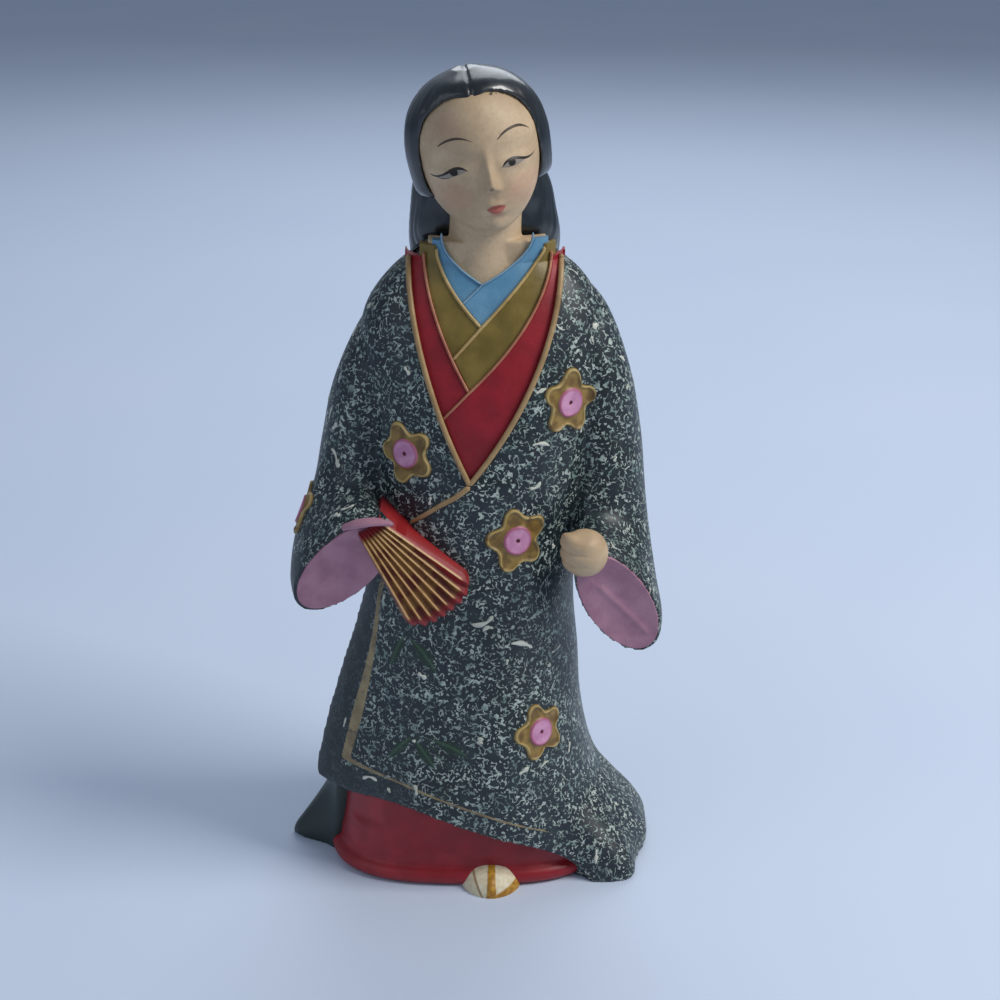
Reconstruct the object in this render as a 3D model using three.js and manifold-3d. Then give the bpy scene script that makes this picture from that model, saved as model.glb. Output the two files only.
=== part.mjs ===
// A painted clay figurine of a court lady in a trailing robe, cast in one piece.
// Millimetres, +Z up. The figure faces -Y and the origin is on the ground under the body.
// "Right" and "left" are the figure's own, so the right sleeve lies on the -X side.
import * as THREE from 'three';
import Module from 'manifold-3d';

const wasm = await Module();
wasm.setup();

// Driving dimensions

const DEG = Math.PI / 180;
const BELOW_GROUND = 2; // every part runs this far under the ground and is then cut off flat

// Half-widths and depths of the gown about the Z axis at rising heights.
const GOWN = {
  z: [0, 4, 10, 17, 25, 35, 50, 66, 83, 105, 125, 145, 160, 172, 182, 190],
  right: [46, 46, 45.5, 45, 44.5, 43.5, 40.5, 36.5, 32.5, 31, 30.5, 31.5, 33, 31, 24, 14],
  left: [53.5, 53, 49.5, 43.5, 37.5, 34, 31.5, 30.5, 29, 29.5, 32.5, 35, 37, 35.4, 29.5, 19],
  front: [35, 35, 35, 34.8, 34.5, 33.8, 32.5, 30.5, 28.8, 27.6, 27.2, 25.5, 22, 18, 14, 11],
  back: [43, 41, 37, 33, 30, 28, 26, 24, 22, 20, 20, 20.5, 20.5, 19, 16.5, 14],
  squareness: 2.3,
  columns: 46,
  rowHeights: [-BELOW_GROUND, 1, 4, 9, 15, 22, 30, 39, 50, 62, 75, 88, 100, 112, 124, 136, 147, 157,
    166, 174, 181, 187, 190],
};

// The lobes of the train add to the radius near the ground.
const TRAIN_LOBES = [
  { name: 'left corner', angle: 327, halfAngle: 9, reach: 7.5, height: 20 },
  { name: 'right tail', angle: 183, halfAngle: 7, reach: 9.5, height: 20 },
  { name: 'behind the right tail', angle: 168, halfAngle: 16, reach: 6, height: 22 },
  { name: 'back tail', angle: 78, halfAngle: 26, reach: 5, height: 26 },
];

const TRAIN_HEM = 2;

// Soft folds run down the back and the sides and die out towards the waist.
const FOLDS = { count: 9, depth: 1.5, top: 92, phase: 0.6, from: 350, to: 550 };

// The front panel overlaps from the figure's left and ends in a free edge on its right side.
const PANEL = {
  top: 127.5,
  nominalHem: 29,
  edgeHeights: [29, 60, 83, 97, 108, 116, 122, 127.5],
  edgeAngles: [197, 196, 199, 208, 222, 237, 252, 267],
  endAngle: 332,
  hemAngles: [197, 210, 236, 258, 281, 300, 310, 318, 324, 332],
  hemHeights: [29.5, 28.6, 27.6, 23.1, 17.8, 12.8, 8.6, 3.5, -BELOW_GROUND, -BELOW_GROUND],
  proud: 2.4,
  cornerFlare: 5,
  sunk: 6,
  columns: 20,
  rows: 11,
};

// The under-skirt shows below the panel's hem. Profile: height and distance in or out.
const SKIRT = {
  right: 44, left: 38, front: 32.5, back: 26, squareness: 3, columns: 36,
  profileZ: [-BELOW_GROUND, 0.6, 2.4, 4.6, 7, 12, 22, 40],
  profileOut: [-0.6, 0.9, 1.5, 0.6, -1.2, -2, -3, -5],
};

const FOOT = { x: 4.3, y: -31, halfWidth: 8.8, reach: 9, height: 6.4, columns: 14, rows: 5 };

// Arm stations: centre, half axis towards the top of the cuff, half axis towards the outside.
const RIGHT_ARM = [
  { at: [-15, 3, 175], up: [0, -9, 0], out: [-8, 0, 4.5] },
  { at: [-23.5, 2, 161.5], up: [0, -13, 0], out: [-9.6, 0, 5] },
  { at: [-30.5, 1.5, 147.5], up: [0, -14.5, 1], out: [-10.4, 0, 2] },
  { at: [-33.6, 0, 133], up: [1, -14.5, 3], out: [-11, 0, 0.5] },
  { at: [-35.5, -6, 120], up: [3, -10, 8], out: [-11.2, 0, 2] },
  { at: [-39.5, -15, 109], up: [8, -4, 13.5], out: [-10.4, 1, 4] },
  { at: [-38.6, -25, 106], up: [12, -3.4, 14.4], out: [-8.4, 0.5, 5.6] },
  { at: [-36.6, -32, 104.6], up: [13.4, -2.6, 14], out: [-6.8, 0, 5.6] },
];
const LEFT_ARM = [
  { at: [19, 3, 178], up: [0, -9, 0], out: [8, 0, 4.5] },
  { at: [27.5, 2, 166.5], up: [0, -13, 0], out: [9.8, 0, 5] },
  { at: [33.8, 1.5, 151], up: [0, -14.5, 1], out: [10.6, 0, 2] },
  { at: [37, 0, 134], up: [-1, -14.5, 2], out: [11, 0, 0] },
  { at: [38.5, -5, 117], up: [-2, -11, 9], out: [11, 0, -1] },
  { at: [40.5, -14, 99], up: [-6, -5, 16], out: [10.4, 1, 2] },
  { at: [41, -24, 94], up: [-9, -4.4, 17], out: [9.4, 0.5, 3.4] },
  { at: [40.6, -30, 92.4], up: [-9.4, -4.4, 17], out: [8.6, 0.5, 4] },
];
const CUFF = { rim: 0.87, floor: 0.76, depth: 2.2, columns: 20, steps: 2 };

const FIST = { at: [31, -34, 109.6], half: [6.3, 5.6, 6.6], fingers: 4, groove: 0.5 };

// The half-open fan lies on the robe. Its ribs meet at a point inside the right sleeve.
const FAN = {
  pivot: [-38.6, 129.2], y: -33.6, lean: -1.6,
  fromAngle: -65.5, toAngle: -36.5, inner: 15, outer: 49.4, ribs: 8,
  pleat: 0.55, thickness: 5.5, rows: 4, cornerCut: 4,
};

// Each neckline is a V cut below the last one: bottom point, reach to each side, bow of each side.
const NECKLINES = [
  { x: -1.5, z: 127.3, top: 187, toRight: 17, toLeft: 25.6, bowRight: 1.7, bowLeft: 1.85, depth: 1.2 },
  { x: -1.6, z: 152.8, top: 188, toRight: 12.5, toLeft: 22.9, bowRight: 1.65, bowLeft: 1.7, depth: 1.9 },
  { x: 1.8, z: 169.7, top: 189.3, toRight: 12.3, toLeft: 17.4, bowRight: 1.6, bowLeft: 1.15, depth: 2.6 },
  { x: 2, z: 180.6, top: 193.5, toRight: 11.1, toLeft: 14.1, bowRight: 2, bowLeft: 1.85, depth: 3.4 },
];
const NECK_CUT = { rows: 10, columns: 8, outside: 14, above: 196 };

const HEAD = { at: [1.3, -2, 215.6], tilt: 10, turn: 5, nod: 3 };
const FACE = {
  z: [-20.6, -18.5, -15, -10, -4, 2, 8, 14, 18.5, 21.3],
  halfWidth: [3, 7.6, 11.4, 14.4, 16.2, 16.8, 16.3, 13.5, 9.2, 3],
  front: [9.5, 13.6, 15.6, 17, 17.9, 18.1, 17.7, 15.4, 11.4, 4],
  back: [2, 6, 10, 14, 16, 17, 17, 15, 11, 4],
  columns: 34, frontCrowding: 0.55,
};
// Each feature of the face is a soft bump: place across, place up, size across, size up, height.
const FEATURES = [
  { name: 'bridge', x: 0, z: -1.5, sx: 1.5, sz: 3.2, out: 1.1 },
  { name: 'nose tip', x: 0, z: -6.1, sx: 1.7, sz: 1.9, out: 2.7 },
  { name: 'right nostril', x: -2, z: -7, sx: 1, sz: 1, out: 0.8 },
  { name: 'left nostril', x: 2, z: -7, sx: 1, sz: 1, out: 0.8 },
  { name: 'upper lip', x: 0, z: -11.1, sx: 2.2, sz: 0.8, out: 0.9 },
  { name: 'lower lip', x: 0, z: -13.1, sx: 1.8, sz: 0.9, out: 0.8 },
  { name: 'chin', x: 0, z: -17.6, sx: 3.4, sz: 2, out: 1 },
  { name: 'right eye hollow', x: -7.6, z: 1.2, sx: 4, sz: 2.4, out: -1 },
  { name: 'left eye hollow', x: 7.6, z: 1.2, sx: 4, sz: 2.4, out: -1 },
  { name: 'right eyelid', x: -8.4, z: -0.2, sx: 3.2, sz: 1.5, out: 0.9 },
  { name: 'left eyelid', x: 8.4, z: -0.2, sx: 3.2, sz: 1.5, out: 0.9 },
  { name: 'right cheek', x: -9, z: -7, sx: 4.5, sz: 4, out: 0.6 },
  { name: 'left cheek', x: 9, z: -7, sx: 4.5, sz: 4, out: 0.6 },
];

// The cap of hair, in the head's own frame, with the opening that leaves the face free.
const HAIR = {
  z: [-9, -7, 0, 6, 12, 17, 21, 23.6],
  halfWidth: [17.6, 18.9, 19.8, 19.7, 18.2, 15, 10, 3],
  front: [9.5, 10, 11, 11, 11.2, 12.2, 9.8, 3],
  back: [17.6, 19.2, 21, 21, 19.4, 16, 10.6, 3.5],
  columns: 30,
};
const OPENING = { halfWidth: 16.3, top: 18.7, peak: 1.7, peakHalfWidth: 3.2, bottom: -14, back: -3 };
// The long hair behind the shoulders: height, middle, half-width, front and back depth.
const FALL = {
  z: [104, 108, 118, 132, 148, 162, 174, 182, 190, 198, 206, 214, 222],
  x: [1.2, 1.2, 1.4, 1.6, 1.8, 2, 2.3, 2.6, 2.8, 2.4, 1.8, 0.6, -0.6],
  halfWidth: [4, 8, 12, 15, 17, 18.4, 19.8, 20.8, 21.4, 20.4, 19, 16, 11],
  frontY: [16, 15, 14, 14, 14, 13, 10, 5, 1.5, 1, 1, 2, 3],
  backY: [20.6, 22, 23, 23.6, 24.2, 24.6, 24.2, 22.8, 21.2, 19.8, 18.6, 16, 11],
  columns: 24,
};

const NECK = { from: [2, 1, 176], to: [3.4, 0, 204], radiusFrom: 12, radiusTo: 10.2, columns: 20 };

// Raised blossoms: place across and up the front, and the tilt of the first petal.
const BLOSSOMS = [
  { name: 'right breast', x: -18.2, z: 135.5, turn: 20 },
  { name: 'left breast', x: 26, z: 148.8, turn: -10 },
  { name: 'waist', x: 11.8, z: 109.3, turn: 0 },
  { name: 'hem', x: 18.8, z: 50, turn: 10 },
];
const BLOSSOM = { radius: 7.2, petals: 5, scallop: 0.16, height: 0.9, sunk: 3, columns: 20 };

// Curves and sections

// A smooth curve through the given pairs, with each slope taken from the neighbours.
function smoothTable(keys, values) {
  const last = keys.length - 1;
  const slope = keys.map((_, i) => {
    const a = Math.max(0, i - 1);
    const b = Math.min(last, i + 1);
    return (values[b] - values[a]) / (keys[b] - keys[a]);
  });
  return (at) => {
    const t = Math.min(Math.max(at, keys[0]), keys[last]);
    let i = 0;
    while (i < last - 1 && t >= keys[i + 1]) i += 1;
    const h = keys[i + 1] - keys[i];
    const s = (t - keys[i]) / h;
    return (2 * s ** 3 - 3 * s ** 2 + 1) * values[i] + (s ** 3 - 2 * s ** 2 + s) * h * slope[i]
      + (-2 * s ** 3 + 3 * s ** 2) * values[i + 1] + (s ** 3 - s ** 2) * h * slope[i + 1];
  };
}

const smoothStep = (from, to, at) => THREE.MathUtils.smoothstep(at, from, to);
const angleBetween = (a, b) => ((a - b + 540) % 360 + 360) % 360 - 180;
const bell = (distance, size) => Math.exp(-((distance / size) ** 2));

// Radius of an oval with its own half-axis on each of four sides, at an angle in degrees.
function ovalRadius(angle, right, left, front, back, squareness) {
  const c = Math.cos(angle * DEG);
  const s = Math.sin(angle * DEG);
  const acrossPart = Math.abs(c / (c < 0 ? right : left)) ** squareness;
  const alongPart = Math.abs(s / (s < 0 ? front : back)) ** squareness;
  return (acrossPart + alongPart) ** (-1 / squareness);
}

const polar = (angle, radius, z) =>
  new THREE.Vector3(radius * Math.cos(angle * DEG), radius * Math.sin(angle * DEG), z);

// Closed solids from grids of points

function geometryOf(points, triangles) {
  const geometry = new THREE.BufferGeometry();
  geometry.setAttribute('position',
    new THREE.Float32BufferAttribute(points.flatMap((p) => [p.x, p.y, p.z]), 3));
  geometry.setIndex(triangles);
  return geometry;
}

// Six times the volume is positive when the faces point outwards.
function pointsOutwards(points, triangles) {
  let volume = 0;
  for (let i = 0; i < triangles.length; i += 3) {
    const [a, b, c] = [points[triangles[i]], points[triangles[i + 1]], points[triangles[i + 2]]];
    volume += a.dot(new THREE.Vector3().crossVectors(b, c));
  }
  return volume > 0;
}

function solidOf(points, triangles) {
  if (!pointsOutwards(points, triangles)) {
    for (let i = 0; i < triangles.length; i += 3) {
      [triangles[i], triangles[i + 1]] = [triangles[i + 1], triangles[i]];
    }
  }
  const geometry = geometryOf(points, triangles);
  return new wasm.Manifold(new wasm.Mesh({
    numProp: 3,
    vertProperties: geometry.getAttribute('position').array,
    triVerts: new Uint32Array(geometry.getIndex().array),
  }));
}

// A skin over closed rings of points, closed at both ends by a fan to the middle.
function ringSolid(rings) {
  const columns = rings[0].length;
  const points = rings.flat();
  const triangles = [];
  for (let r = 0; r + 1 < rings.length; r += 1) {
    for (let c = 0; c < columns; c += 1) {
      const [a, b] = [r * columns + c, r * columns + (c + 1) % columns];
      triangles.push(a, b, b + columns, a, b + columns, a + columns);
    }
  }
  for (const [r, flip] of [[0, true], [rings.length - 1, false]]) {
    const middle = rings[r].reduce((sum, p) => sum.add(p), new THREE.Vector3());
    const m = points.push(middle.divideScalar(columns)) - 1;
    for (let c = 0; c < columns; c += 1) {
      const [a, b] = [r * columns + c, r * columns + (c + 1) % columns];
      triangles.push(...(flip ? [b, a, m] : [a, b, m]));
    }
  }
  return solidOf(points, triangles);
}

// A slab between two grids of points that have the same rows and columns.
function slabSolid(outer, inner) {
  const [rows, columns] = [outer.length, outer[0].length];
  const points = [...outer.flat(), ...inner.flat()];
  const half = rows * columns;
  const triangles = [];
  const quad = (a, b, c, d) => triangles.push(a, b, c, a, c, d);
  for (let r = 0; r + 1 < rows; r += 1) {
    for (let c = 0; c + 1 < columns; c += 1) {
      const a = r * columns + c;
      quad(a, a + 1, a + columns + 1, a + columns);
      quad(half + a, half + a + columns, half + a + columns + 1, half + a + 1);
    }
  }
  const border = [];
  for (let c = 0; c + 1 < columns; c += 1) border.push(c);
  for (let r = 0; r + 1 < rows; r += 1) border.push(r * columns + columns - 1);
  for (let c = columns - 1; c > 0; c -= 1) border.push((rows - 1) * columns + c);
  for (let r = rows - 1; r > 0; r -= 1) border.push(r * columns);
  border.forEach((a, i) => {
    const b = border[(i + 1) % border.length];
    quad(b, a, half + a, half + b);
  });
  return solidOf(points, triangles);
}

const grid = (rows, columns, point) => Array.from({ length: rows + 1 },
  (_, r) => Array.from({ length: columns + 1 }, (__, c) => point(r / rows, c / columns)));

// The gown

const gown = Object.fromEntries(['right', 'left', 'front', 'back']
  .map((side) => [side, smoothTable(GOWN.z, GOWN[side])]));
const hemHeight = smoothTable(PANEL.hemAngles, PANEL.hemHeights);
const panelEdge = smoothTable(PANEL.edgeHeights, PANEL.edgeAngles);

// How far a height is up from the rounded hem on the ground, as a share of what rises there.
const lift = (z, height) => Math.min(Math.max(z - TRAIN_HEM, 0) / height, 1);

function trainReach(angle, z) {
  let reach = 0;
  for (const lobe of TRAIN_LOBES) {
    const fall = 1 - lift(z, lobe.height);
    reach += lobe.reach * bell(angleBetween(angle, lobe.angle), lobe.halfAngle) * fall ** 1.1;
  }
  return reach;
}

// A row of rounded ridges between two angles, deepest at the ground.
function foldDepth(angle, z) {
  const around = (angle + 720 - FOLDS.from) % 360;
  const span = FOLDS.to - FOLDS.from;
  if (around > span) return 0;
  const edge = Math.sin(Math.PI * around / span);
  const fall = Math.max(0, 1 - Math.max(z, 0) / FOLDS.top);
  return FOLDS.depth * edge * fall * Math.cos(around / span * FOLDS.count * Math.PI * 2 + FOLDS.phase);
}

function gownRadius(angle, z) {
  return ovalRadius(angle, gown.right(z), gown.left(z), gown.front(z), gown.back(z), GOWN.squareness)
    + trainReach(angle, z) + foldDepth(angle, z);
}

// The front of the gown at a place across and up, found from the oval of that height.
function gownFrontY(x, z) {
  const width = x < 0 ? gown.right(z) : gown.left(z);
  const left = Math.max(0, 1 - Math.abs(x / width) ** GOWN.squareness);
  return -gown.front(z) * left ** (1 / GOWN.squareness);
}

const skirtOut = smoothTable(SKIRT.profileZ, SKIRT.profileOut);
function skirtRadius(angle, z) {
  return ovalRadius(angle, SKIRT.right, SKIRT.left, SKIRT.front, SKIRT.back, SKIRT.squareness)
    + skirtOut(z);
}

// The body of the gown. In front, below the panel's hem, it steps back behind the under-skirt.
function gownBody() {
  const stepBack = { start: 196.5, end: 318 };
  const rowStep = 9;
  const inSkirt = 5;
  const half = 0.6;
  const sides = [stepBack.start, stepBack.end].flatMap((a) => [a - half, a + half]);
  const plain = Array.from({ length: GOWN.columns }, (_, i) => i * 360 / GOWN.columns)
    .filter((a) => sides.every((side) => Math.abs(a - side) > 2));
  const angles = [...plain, ...sides].sort((a, b) => a - b);
  return ringSolid(GOWN.rowHeights.map((z) => angles.map((angle) => {
    const radius = gownRadius(angle, z);
    const hidden = angle > stepBack.start && angle < stepBack.end && z < hemHeight(angle) + rowStep;
    return polar(angle, hidden ? Math.min(radius, skirtRadius(angle, 0) - inSkirt) : radius, z);
  })));
}

function frontPanel() {
  const place = (v, u) => {
    const nominal = PANEL.nominalHem + v * (PANEL.top - PANEL.nominalHem);
    const angle = THREE.MathUtils.lerp(panelEdge(nominal), PANEL.endAngle, u);
    const hem = hemHeight(angle);
    return { angle, z: hem + v * (PANEL.top - hem) };
  };
  const proud = (v, u) => {
    const { angle } = place(v, u);
    const raised = PANEL.proud * (1 - 0.94 * smoothStep(280, 322, angle)) * (1 - 0.7 * smoothStep(0.6, 1, v));
    const flare = PANEL.cornerFlare * (1 - v) ** 1.6 * (1 - smoothStep(0, 0.22, u));
    return raised + flare - 2.2 * smoothStep(321, PANEL.endAngle, angle);
  };
  const layer = (offset) => grid(PANEL.rows, PANEL.columns, (v, u) => {
    const { angle, z } = place(v, u);
    return polar(angle, gownRadius(angle, z) + offset(v, u), z);
  });
  return slabSolid(layer(proud), layer(() => -PANEL.sunk));
}

function underSkirt() {
  return ringSolid(SKIRT.profileZ.map((z) => Array.from({ length: SKIRT.columns }, (_, i) => {
    const angle = i * 360 / SKIRT.columns;
    return polar(angle, skirtRadius(angle, z), z);
  })));
}

// A half dome that peeps out from under the skirt, a little pointed at the toe.
function foot() {
  const rings = [];
  for (let r = 0; r <= FOOT.rows; r += 1) {
    const lift = r / FOOT.rows;
    const size = Math.sqrt(Math.max(0.02, 1 - lift ** 2));
    rings.push(Array.from({ length: FOOT.columns }, (_, i) => {
      const a = i / FOOT.columns * Math.PI * 2;
      return new THREE.Vector3(FOOT.x + FOOT.halfWidth * size * Math.cos(a),
        FOOT.y + FOOT.reach * size * Math.sin(a), r === 0 ? -BELOW_GROUND : FOOT.height * lift);
    }));
  }
  return ringSolid(rings);
}

// Sleeves, hand and fan

// Rings around the arm from the shoulder to the cuff, then a shallow hollow in the cuff's mouth.
function sleeve(stations) {
  const keys = stations.map((_, i) => i);
  const channel = (field, axis) => smoothTable(keys, stations.map((s) => s[field][axis]));
  const field = (name) => {
    const parts = [0, 1, 2].map((axis) => channel(name, axis));
    return (t) => new THREE.Vector3(...parts.map((part) => part(t)));
  };
  const [at, up, out] = ['at', 'up', 'out'].map(field);
  const ring = (t, scale, shift) => Array.from({ length: CUFF.columns }, (_, i) => {
    const a = i / CUFF.columns * Math.PI * 2;
    return at(t).addScaledVector(up(t), scale * Math.cos(a))
      .addScaledVector(out(t), scale * Math.sin(a)).add(shift);
  });
  const last = stations.length - 1;
  const still = new THREE.Vector3();
  const inwards = at(last - 1).sub(at(last)).setLength(CUFF.depth);
  const rings = [];
  for (let i = 0; i <= last * CUFF.steps; i += 1) rings.push(ring(i / CUFF.steps, 1, still));
  rings.push(ring(last, CUFF.rim, still), ring(last, CUFF.floor, inwards));
  return ringSolid(rings);
}

// A closed hand with shallow grooves between the fingers.
function fist() {
  const [rows, columns] = [12, 16];
  const rings = [];
  for (let r = 0; r <= rows; r += 1) {
    const t = -0.97 + 1.94 * r / rows;
    const size = Math.sqrt(1 - t ** 2);
    rings.push(Array.from({ length: columns }, (_, i) => {
      const a = i / columns * Math.PI * 2;
      const groove = FIST.groove * Math.cos(t * FIST.fingers * Math.PI) * Math.max(0, -Math.sin(a));
      return new THREE.Vector3(FIST.at[0] + (FIST.half[0] + groove) * size * Math.cos(a),
        FIST.at[1] + (FIST.half[1] + groove) * size * Math.sin(a), FIST.at[2] + FIST.half[2] * t);
    }));
  }
  return ringSolid(rings);
}

// A pleated wedge. Its columns run along the ridges and valleys between the ribs.
function fan() {
  const columns = FAN.ribs * 2;
  const outerEdge = (u) => FAN.outer - FAN.cornerCut * (2 * u - 1) ** 4;
  const layer = (depth, pleat) => grid(FAN.rows, columns, (v, u) => {
    const angle = THREE.MathUtils.lerp(FAN.fromAngle, FAN.toAngle, u) * DEG;
    const radius = THREE.MathUtils.lerp(FAN.inner, outerEdge(u), v);
    const ridge = Math.round(u * columns) % 2 ? pleat : -pleat;
    return new THREE.Vector3(FAN.pivot[0] + radius * Math.cos(angle),
      FAN.y + FAN.lean * (1 - v) - ridge * (0.35 + 0.65 * v) + depth,
      FAN.pivot[1] + radius * Math.sin(angle));
  });
  return slabSolid(layer(0, FAN.pleat), layer(FAN.thickness, 0));
}

// Head and hair

const headFrame = new THREE.Matrix4().makeTranslation(...HEAD.at)
  .multiply(new THREE.Matrix4().makeRotationZ(HEAD.turn * DEG))
  .multiply(new THREE.Matrix4().makeRotationY(-HEAD.tilt * DEG))
  .multiply(new THREE.Matrix4().makeRotationX(HEAD.nod * DEG));

function featureHeight(x, z) {
  return FEATURES.reduce((sum, f) => sum + f.out * bell(x - f.x, f.sx) * bell(z - f.z, f.sz), 0);
}

function faceSolid() {
  const [halfWidth, front, back] = ['halfWidth', 'front', 'back']
    .map((side) => smoothTable(FACE.z, FACE[side]));
  const heights = [-20.6, -19.4, -18, -16.6, -15.2, -14, -13.1, -12.1, -11.1, -9.8, -8.6, -7.4, -6.2,
    -4.8, -3, -1.2, 0.6, 2.6, 5, 8, 11.5, 15, 18.5, 21.3];
  return ringSolid(heights.map((z) => Array.from({ length: FACE.columns }, (_, i) => {
    const even = i / FACE.columns * 2 - 1;
    const a = Math.PI * (even - FACE.frontCrowding * Math.sin(Math.PI * even) / Math.PI);
    const x = halfWidth(z) * Math.sin(a);
    const facing = Math.max(0, Math.cos(a));
    const y = facing > 0 ? -front(z) * facing - featureHeight(x, z) * smoothStep(0, 0.5, facing)
      : -back(z) * Math.cos(a);
    return new THREE.Vector3(x, y, z).applyMatrix4(headFrame);
  })));
}

function hairCap() {
  const sides = Object.fromEntries(['halfWidth', 'front', 'back']
    .map((side) => [side, smoothTable(HAIR.z, HAIR[side])]));
  const heights = [-9, -7.4, -4, 0, 4, 8, 12, 15.5, 18.5, 21, 22.8, 23.6];
  return ringSolid(heights.map((z) => Array.from({ length: HAIR.columns }, (_, i) => {
    const a = i / HAIR.columns * 360;
    const radius = ovalRadius(a, sides.halfWidth(z), sides.halfWidth(z), sides.front(z), sides.back(z), 2);
    return polar(a, radius, z).applyMatrix4(headFrame);
  })));
}

// The opening in the hair: an arch over the forehead with a small peak in the middle.
function faceOpening() {
  const outline = Array.from({ length: 28 }, (_, i) => {
    const a = i / 28 * 360;
    const side = ovalRadius(a, OPENING.halfWidth, OPENING.halfWidth, -OPENING.bottom, OPENING.top, 2.5);
    const x = side * Math.cos(a * DEG);
    const z = side * Math.sin(a * DEG);
    return [x, z > 0 ? z - OPENING.peak * bell(x, OPENING.peakHalfWidth) : z];
  });
  const front = -40;
  return ringSolid([front, OPENING.back].map((y) =>
    outline.map(([x, z]) => new THREE.Vector3(x, y, z).applyMatrix4(headFrame))));
}

function hairFall() {
  const at = Object.fromEntries(['x', 'halfWidth', 'frontY', 'backY']
    .map((side) => [side, smoothTable(FALL.z, FALL[side])]));
  return ringSolid(FALL.z.map((z) => Array.from({ length: FALL.columns }, (_, i) => {
    const a = i / FALL.columns * Math.PI * 2;
    const middle = (at.frontY(z) + at.backY(z)) / 2;
    const depth = (at.backY(z) - at.frontY(z)) / 2;
    const soften = (value) => Math.sign(value) * Math.abs(value) ** 0.8;
    return new THREE.Vector3(at.x(z) + at.halfWidth(z) * soften(Math.cos(a)),
      middle + depth * soften(Math.sin(a)), z);
  })));
}

function neck() {
  const ring = (at, radius) => Array.from({ length: NECK.columns }, (_, i) => {
    const a = i / NECK.columns * Math.PI * 2;
    return new THREE.Vector3(at[0] + radius * Math.cos(a), at[1] + radius * Math.sin(a), at[2]);
  });
  return ringSolid([ring(NECK.from, NECK.radiusFrom), ring(NECK.to, NECK.radiusTo)]);
}

// Necklines and blossoms

// The side of a V at a height: it starts at the bottom point and bows out towards the shoulder.
function necklineX(line, z, side) {
  const t = Math.min(Math.max((z - line.z) / (line.top - line.z), 0), 1);
  const [reach, bow] = side < 0 ? [-line.toRight, line.bowRight] : [line.toLeft, line.bowLeft];
  return line.x + reach * (1 - (1 - t) ** bow);
}

// The space that a V neckline takes out of the chest, down to its own depth.
function necklineCut(line) {
  const layer = (depth) => grid(NECK_CUT.rows, NECK_CUT.columns, (v, u) => {
    const z = line.z + (NECK_CUT.above - line.z) * v ** 1.3;
    const x = THREE.MathUtils.lerp(necklineX(line, z, -1) - 0.05, necklineX(line, z, 1) + 0.05, u);
    const onChest = Math.min(z, 186);
    return new THREE.Vector3(x, gownFrontY(x, onChest) + depth, z);
  });
  return slabSolid(layer(-NECK_CUT.outside), layer(line.depth));
}

// A low five-petalled disc that follows the front of the gown.
function blossom(place) {
  const surface = place.z < 100 ? PANEL.proud : 0;
  const ring = (v) => Array.from({ length: BLOSSOM.columns }, (_, i) => {
    const a = i / BLOSSOM.columns * Math.PI * 2;
    const petal = 1 + BLOSSOM.scallop * Math.cos(BLOSSOM.petals * (a - place.turn * DEG));
    const x = place.x + BLOSSOM.radius * v * petal * Math.cos(a);
    const z = place.z + BLOSSOM.radius * v * petal * Math.sin(a);
    return [x, z];
  });
  const point = ([x, z], out) => new THREE.Vector3(x, gownFrontY(x, z) - surface - out, z);
  return ringSolid([
    ring(0.95).map((p) => point(p, -BLOSSOM.sunk)),
    ring(1).map((p) => point(p, BLOSSOM.height * 0.5)),
    ring(0.9).map((p) => point(p, BLOSSOM.height)),
    ring(0.45).map((p) => point(p, BLOSSOM.height * 1.1)),
  ]);
}

// The casting

function groundCutter() {
  const box = new THREE.BoxGeometry(300, 300, 20);
  box.deleteAttribute('normal');
  box.deleteAttribute('uv');
  box.translate(0, 0, -10);
  const position = box.getAttribute('position');
  const corners = [];
  const seen = new Map();
  const remap = Array.from({ length: position.count }, (_, i) => {
    const p = new THREE.Vector3().fromBufferAttribute(position, i);
    const key = p.toArray().join();
    if (!seen.has(key)) seen.set(key, corners.push(p) - 1);
    return seen.get(key);
  });
  return solidOf(corners, Array.from(box.getIndex().array, (i) => remap[i]));
}

function casting() {
  let body = gownBody();
  for (const line of NECKLINES) body = body.subtract(necklineCut(line));
  const hair = hairCap().subtract(faceOpening()).add(hairFall());
  const parts = [frontPanel(), underSkirt(), foot(), sleeve(RIGHT_ARM), sleeve(LEFT_ARM), fist(), fan(),
    neck(), faceSolid(), hair, ...BLOSSOMS.map(blossom)];
  return parts.reduce((whole, part) => whole.add(part), body).subtract(groundCutter());
}

function meshOf(solid) {
  const { vertProperties, triVerts } = solid.getMesh();
  const geometry = new THREE.BufferGeometry();
  geometry.setAttribute('position', new THREE.BufferAttribute(new Float32Array(vertProperties), 3));
  geometry.setIndex(Array.from(triVerts));
  geometry.computeVertexNormals();
  return geometry;
}

const paint = new THREE.MeshStandardMaterial({ color: 0x1d2b2d, roughness: 0.5, metalness: 0 });
const figure = new THREE.Mesh(meshOf(casting()), paint);
figure.name = 'figure';

const model = new THREE.Group();
model.add(figure);

export default model;
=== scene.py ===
"""Looks of a painted clay figurine: a court lady in a flecked robe with a trailing hem.

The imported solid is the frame, and every piece here replaces it or lies on it. Shapes are worked out
with numpy from the sizes in the classes below, in millimetres of that frame, and turned to metres
when a mesh is made. The figure faces -Y. "Right" and "left" are the figure's own, so the right
sleeve lies on the -X side. Angles run in degrees round +Z, and 270 is the front.
"""

import logging
import math
from dataclasses import dataclass, field
from enum import Enum
from typing import Callable, Sequence

import bpy
import numpy as np
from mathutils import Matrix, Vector
from mathutils.bvhtree import BVHTree


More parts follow.
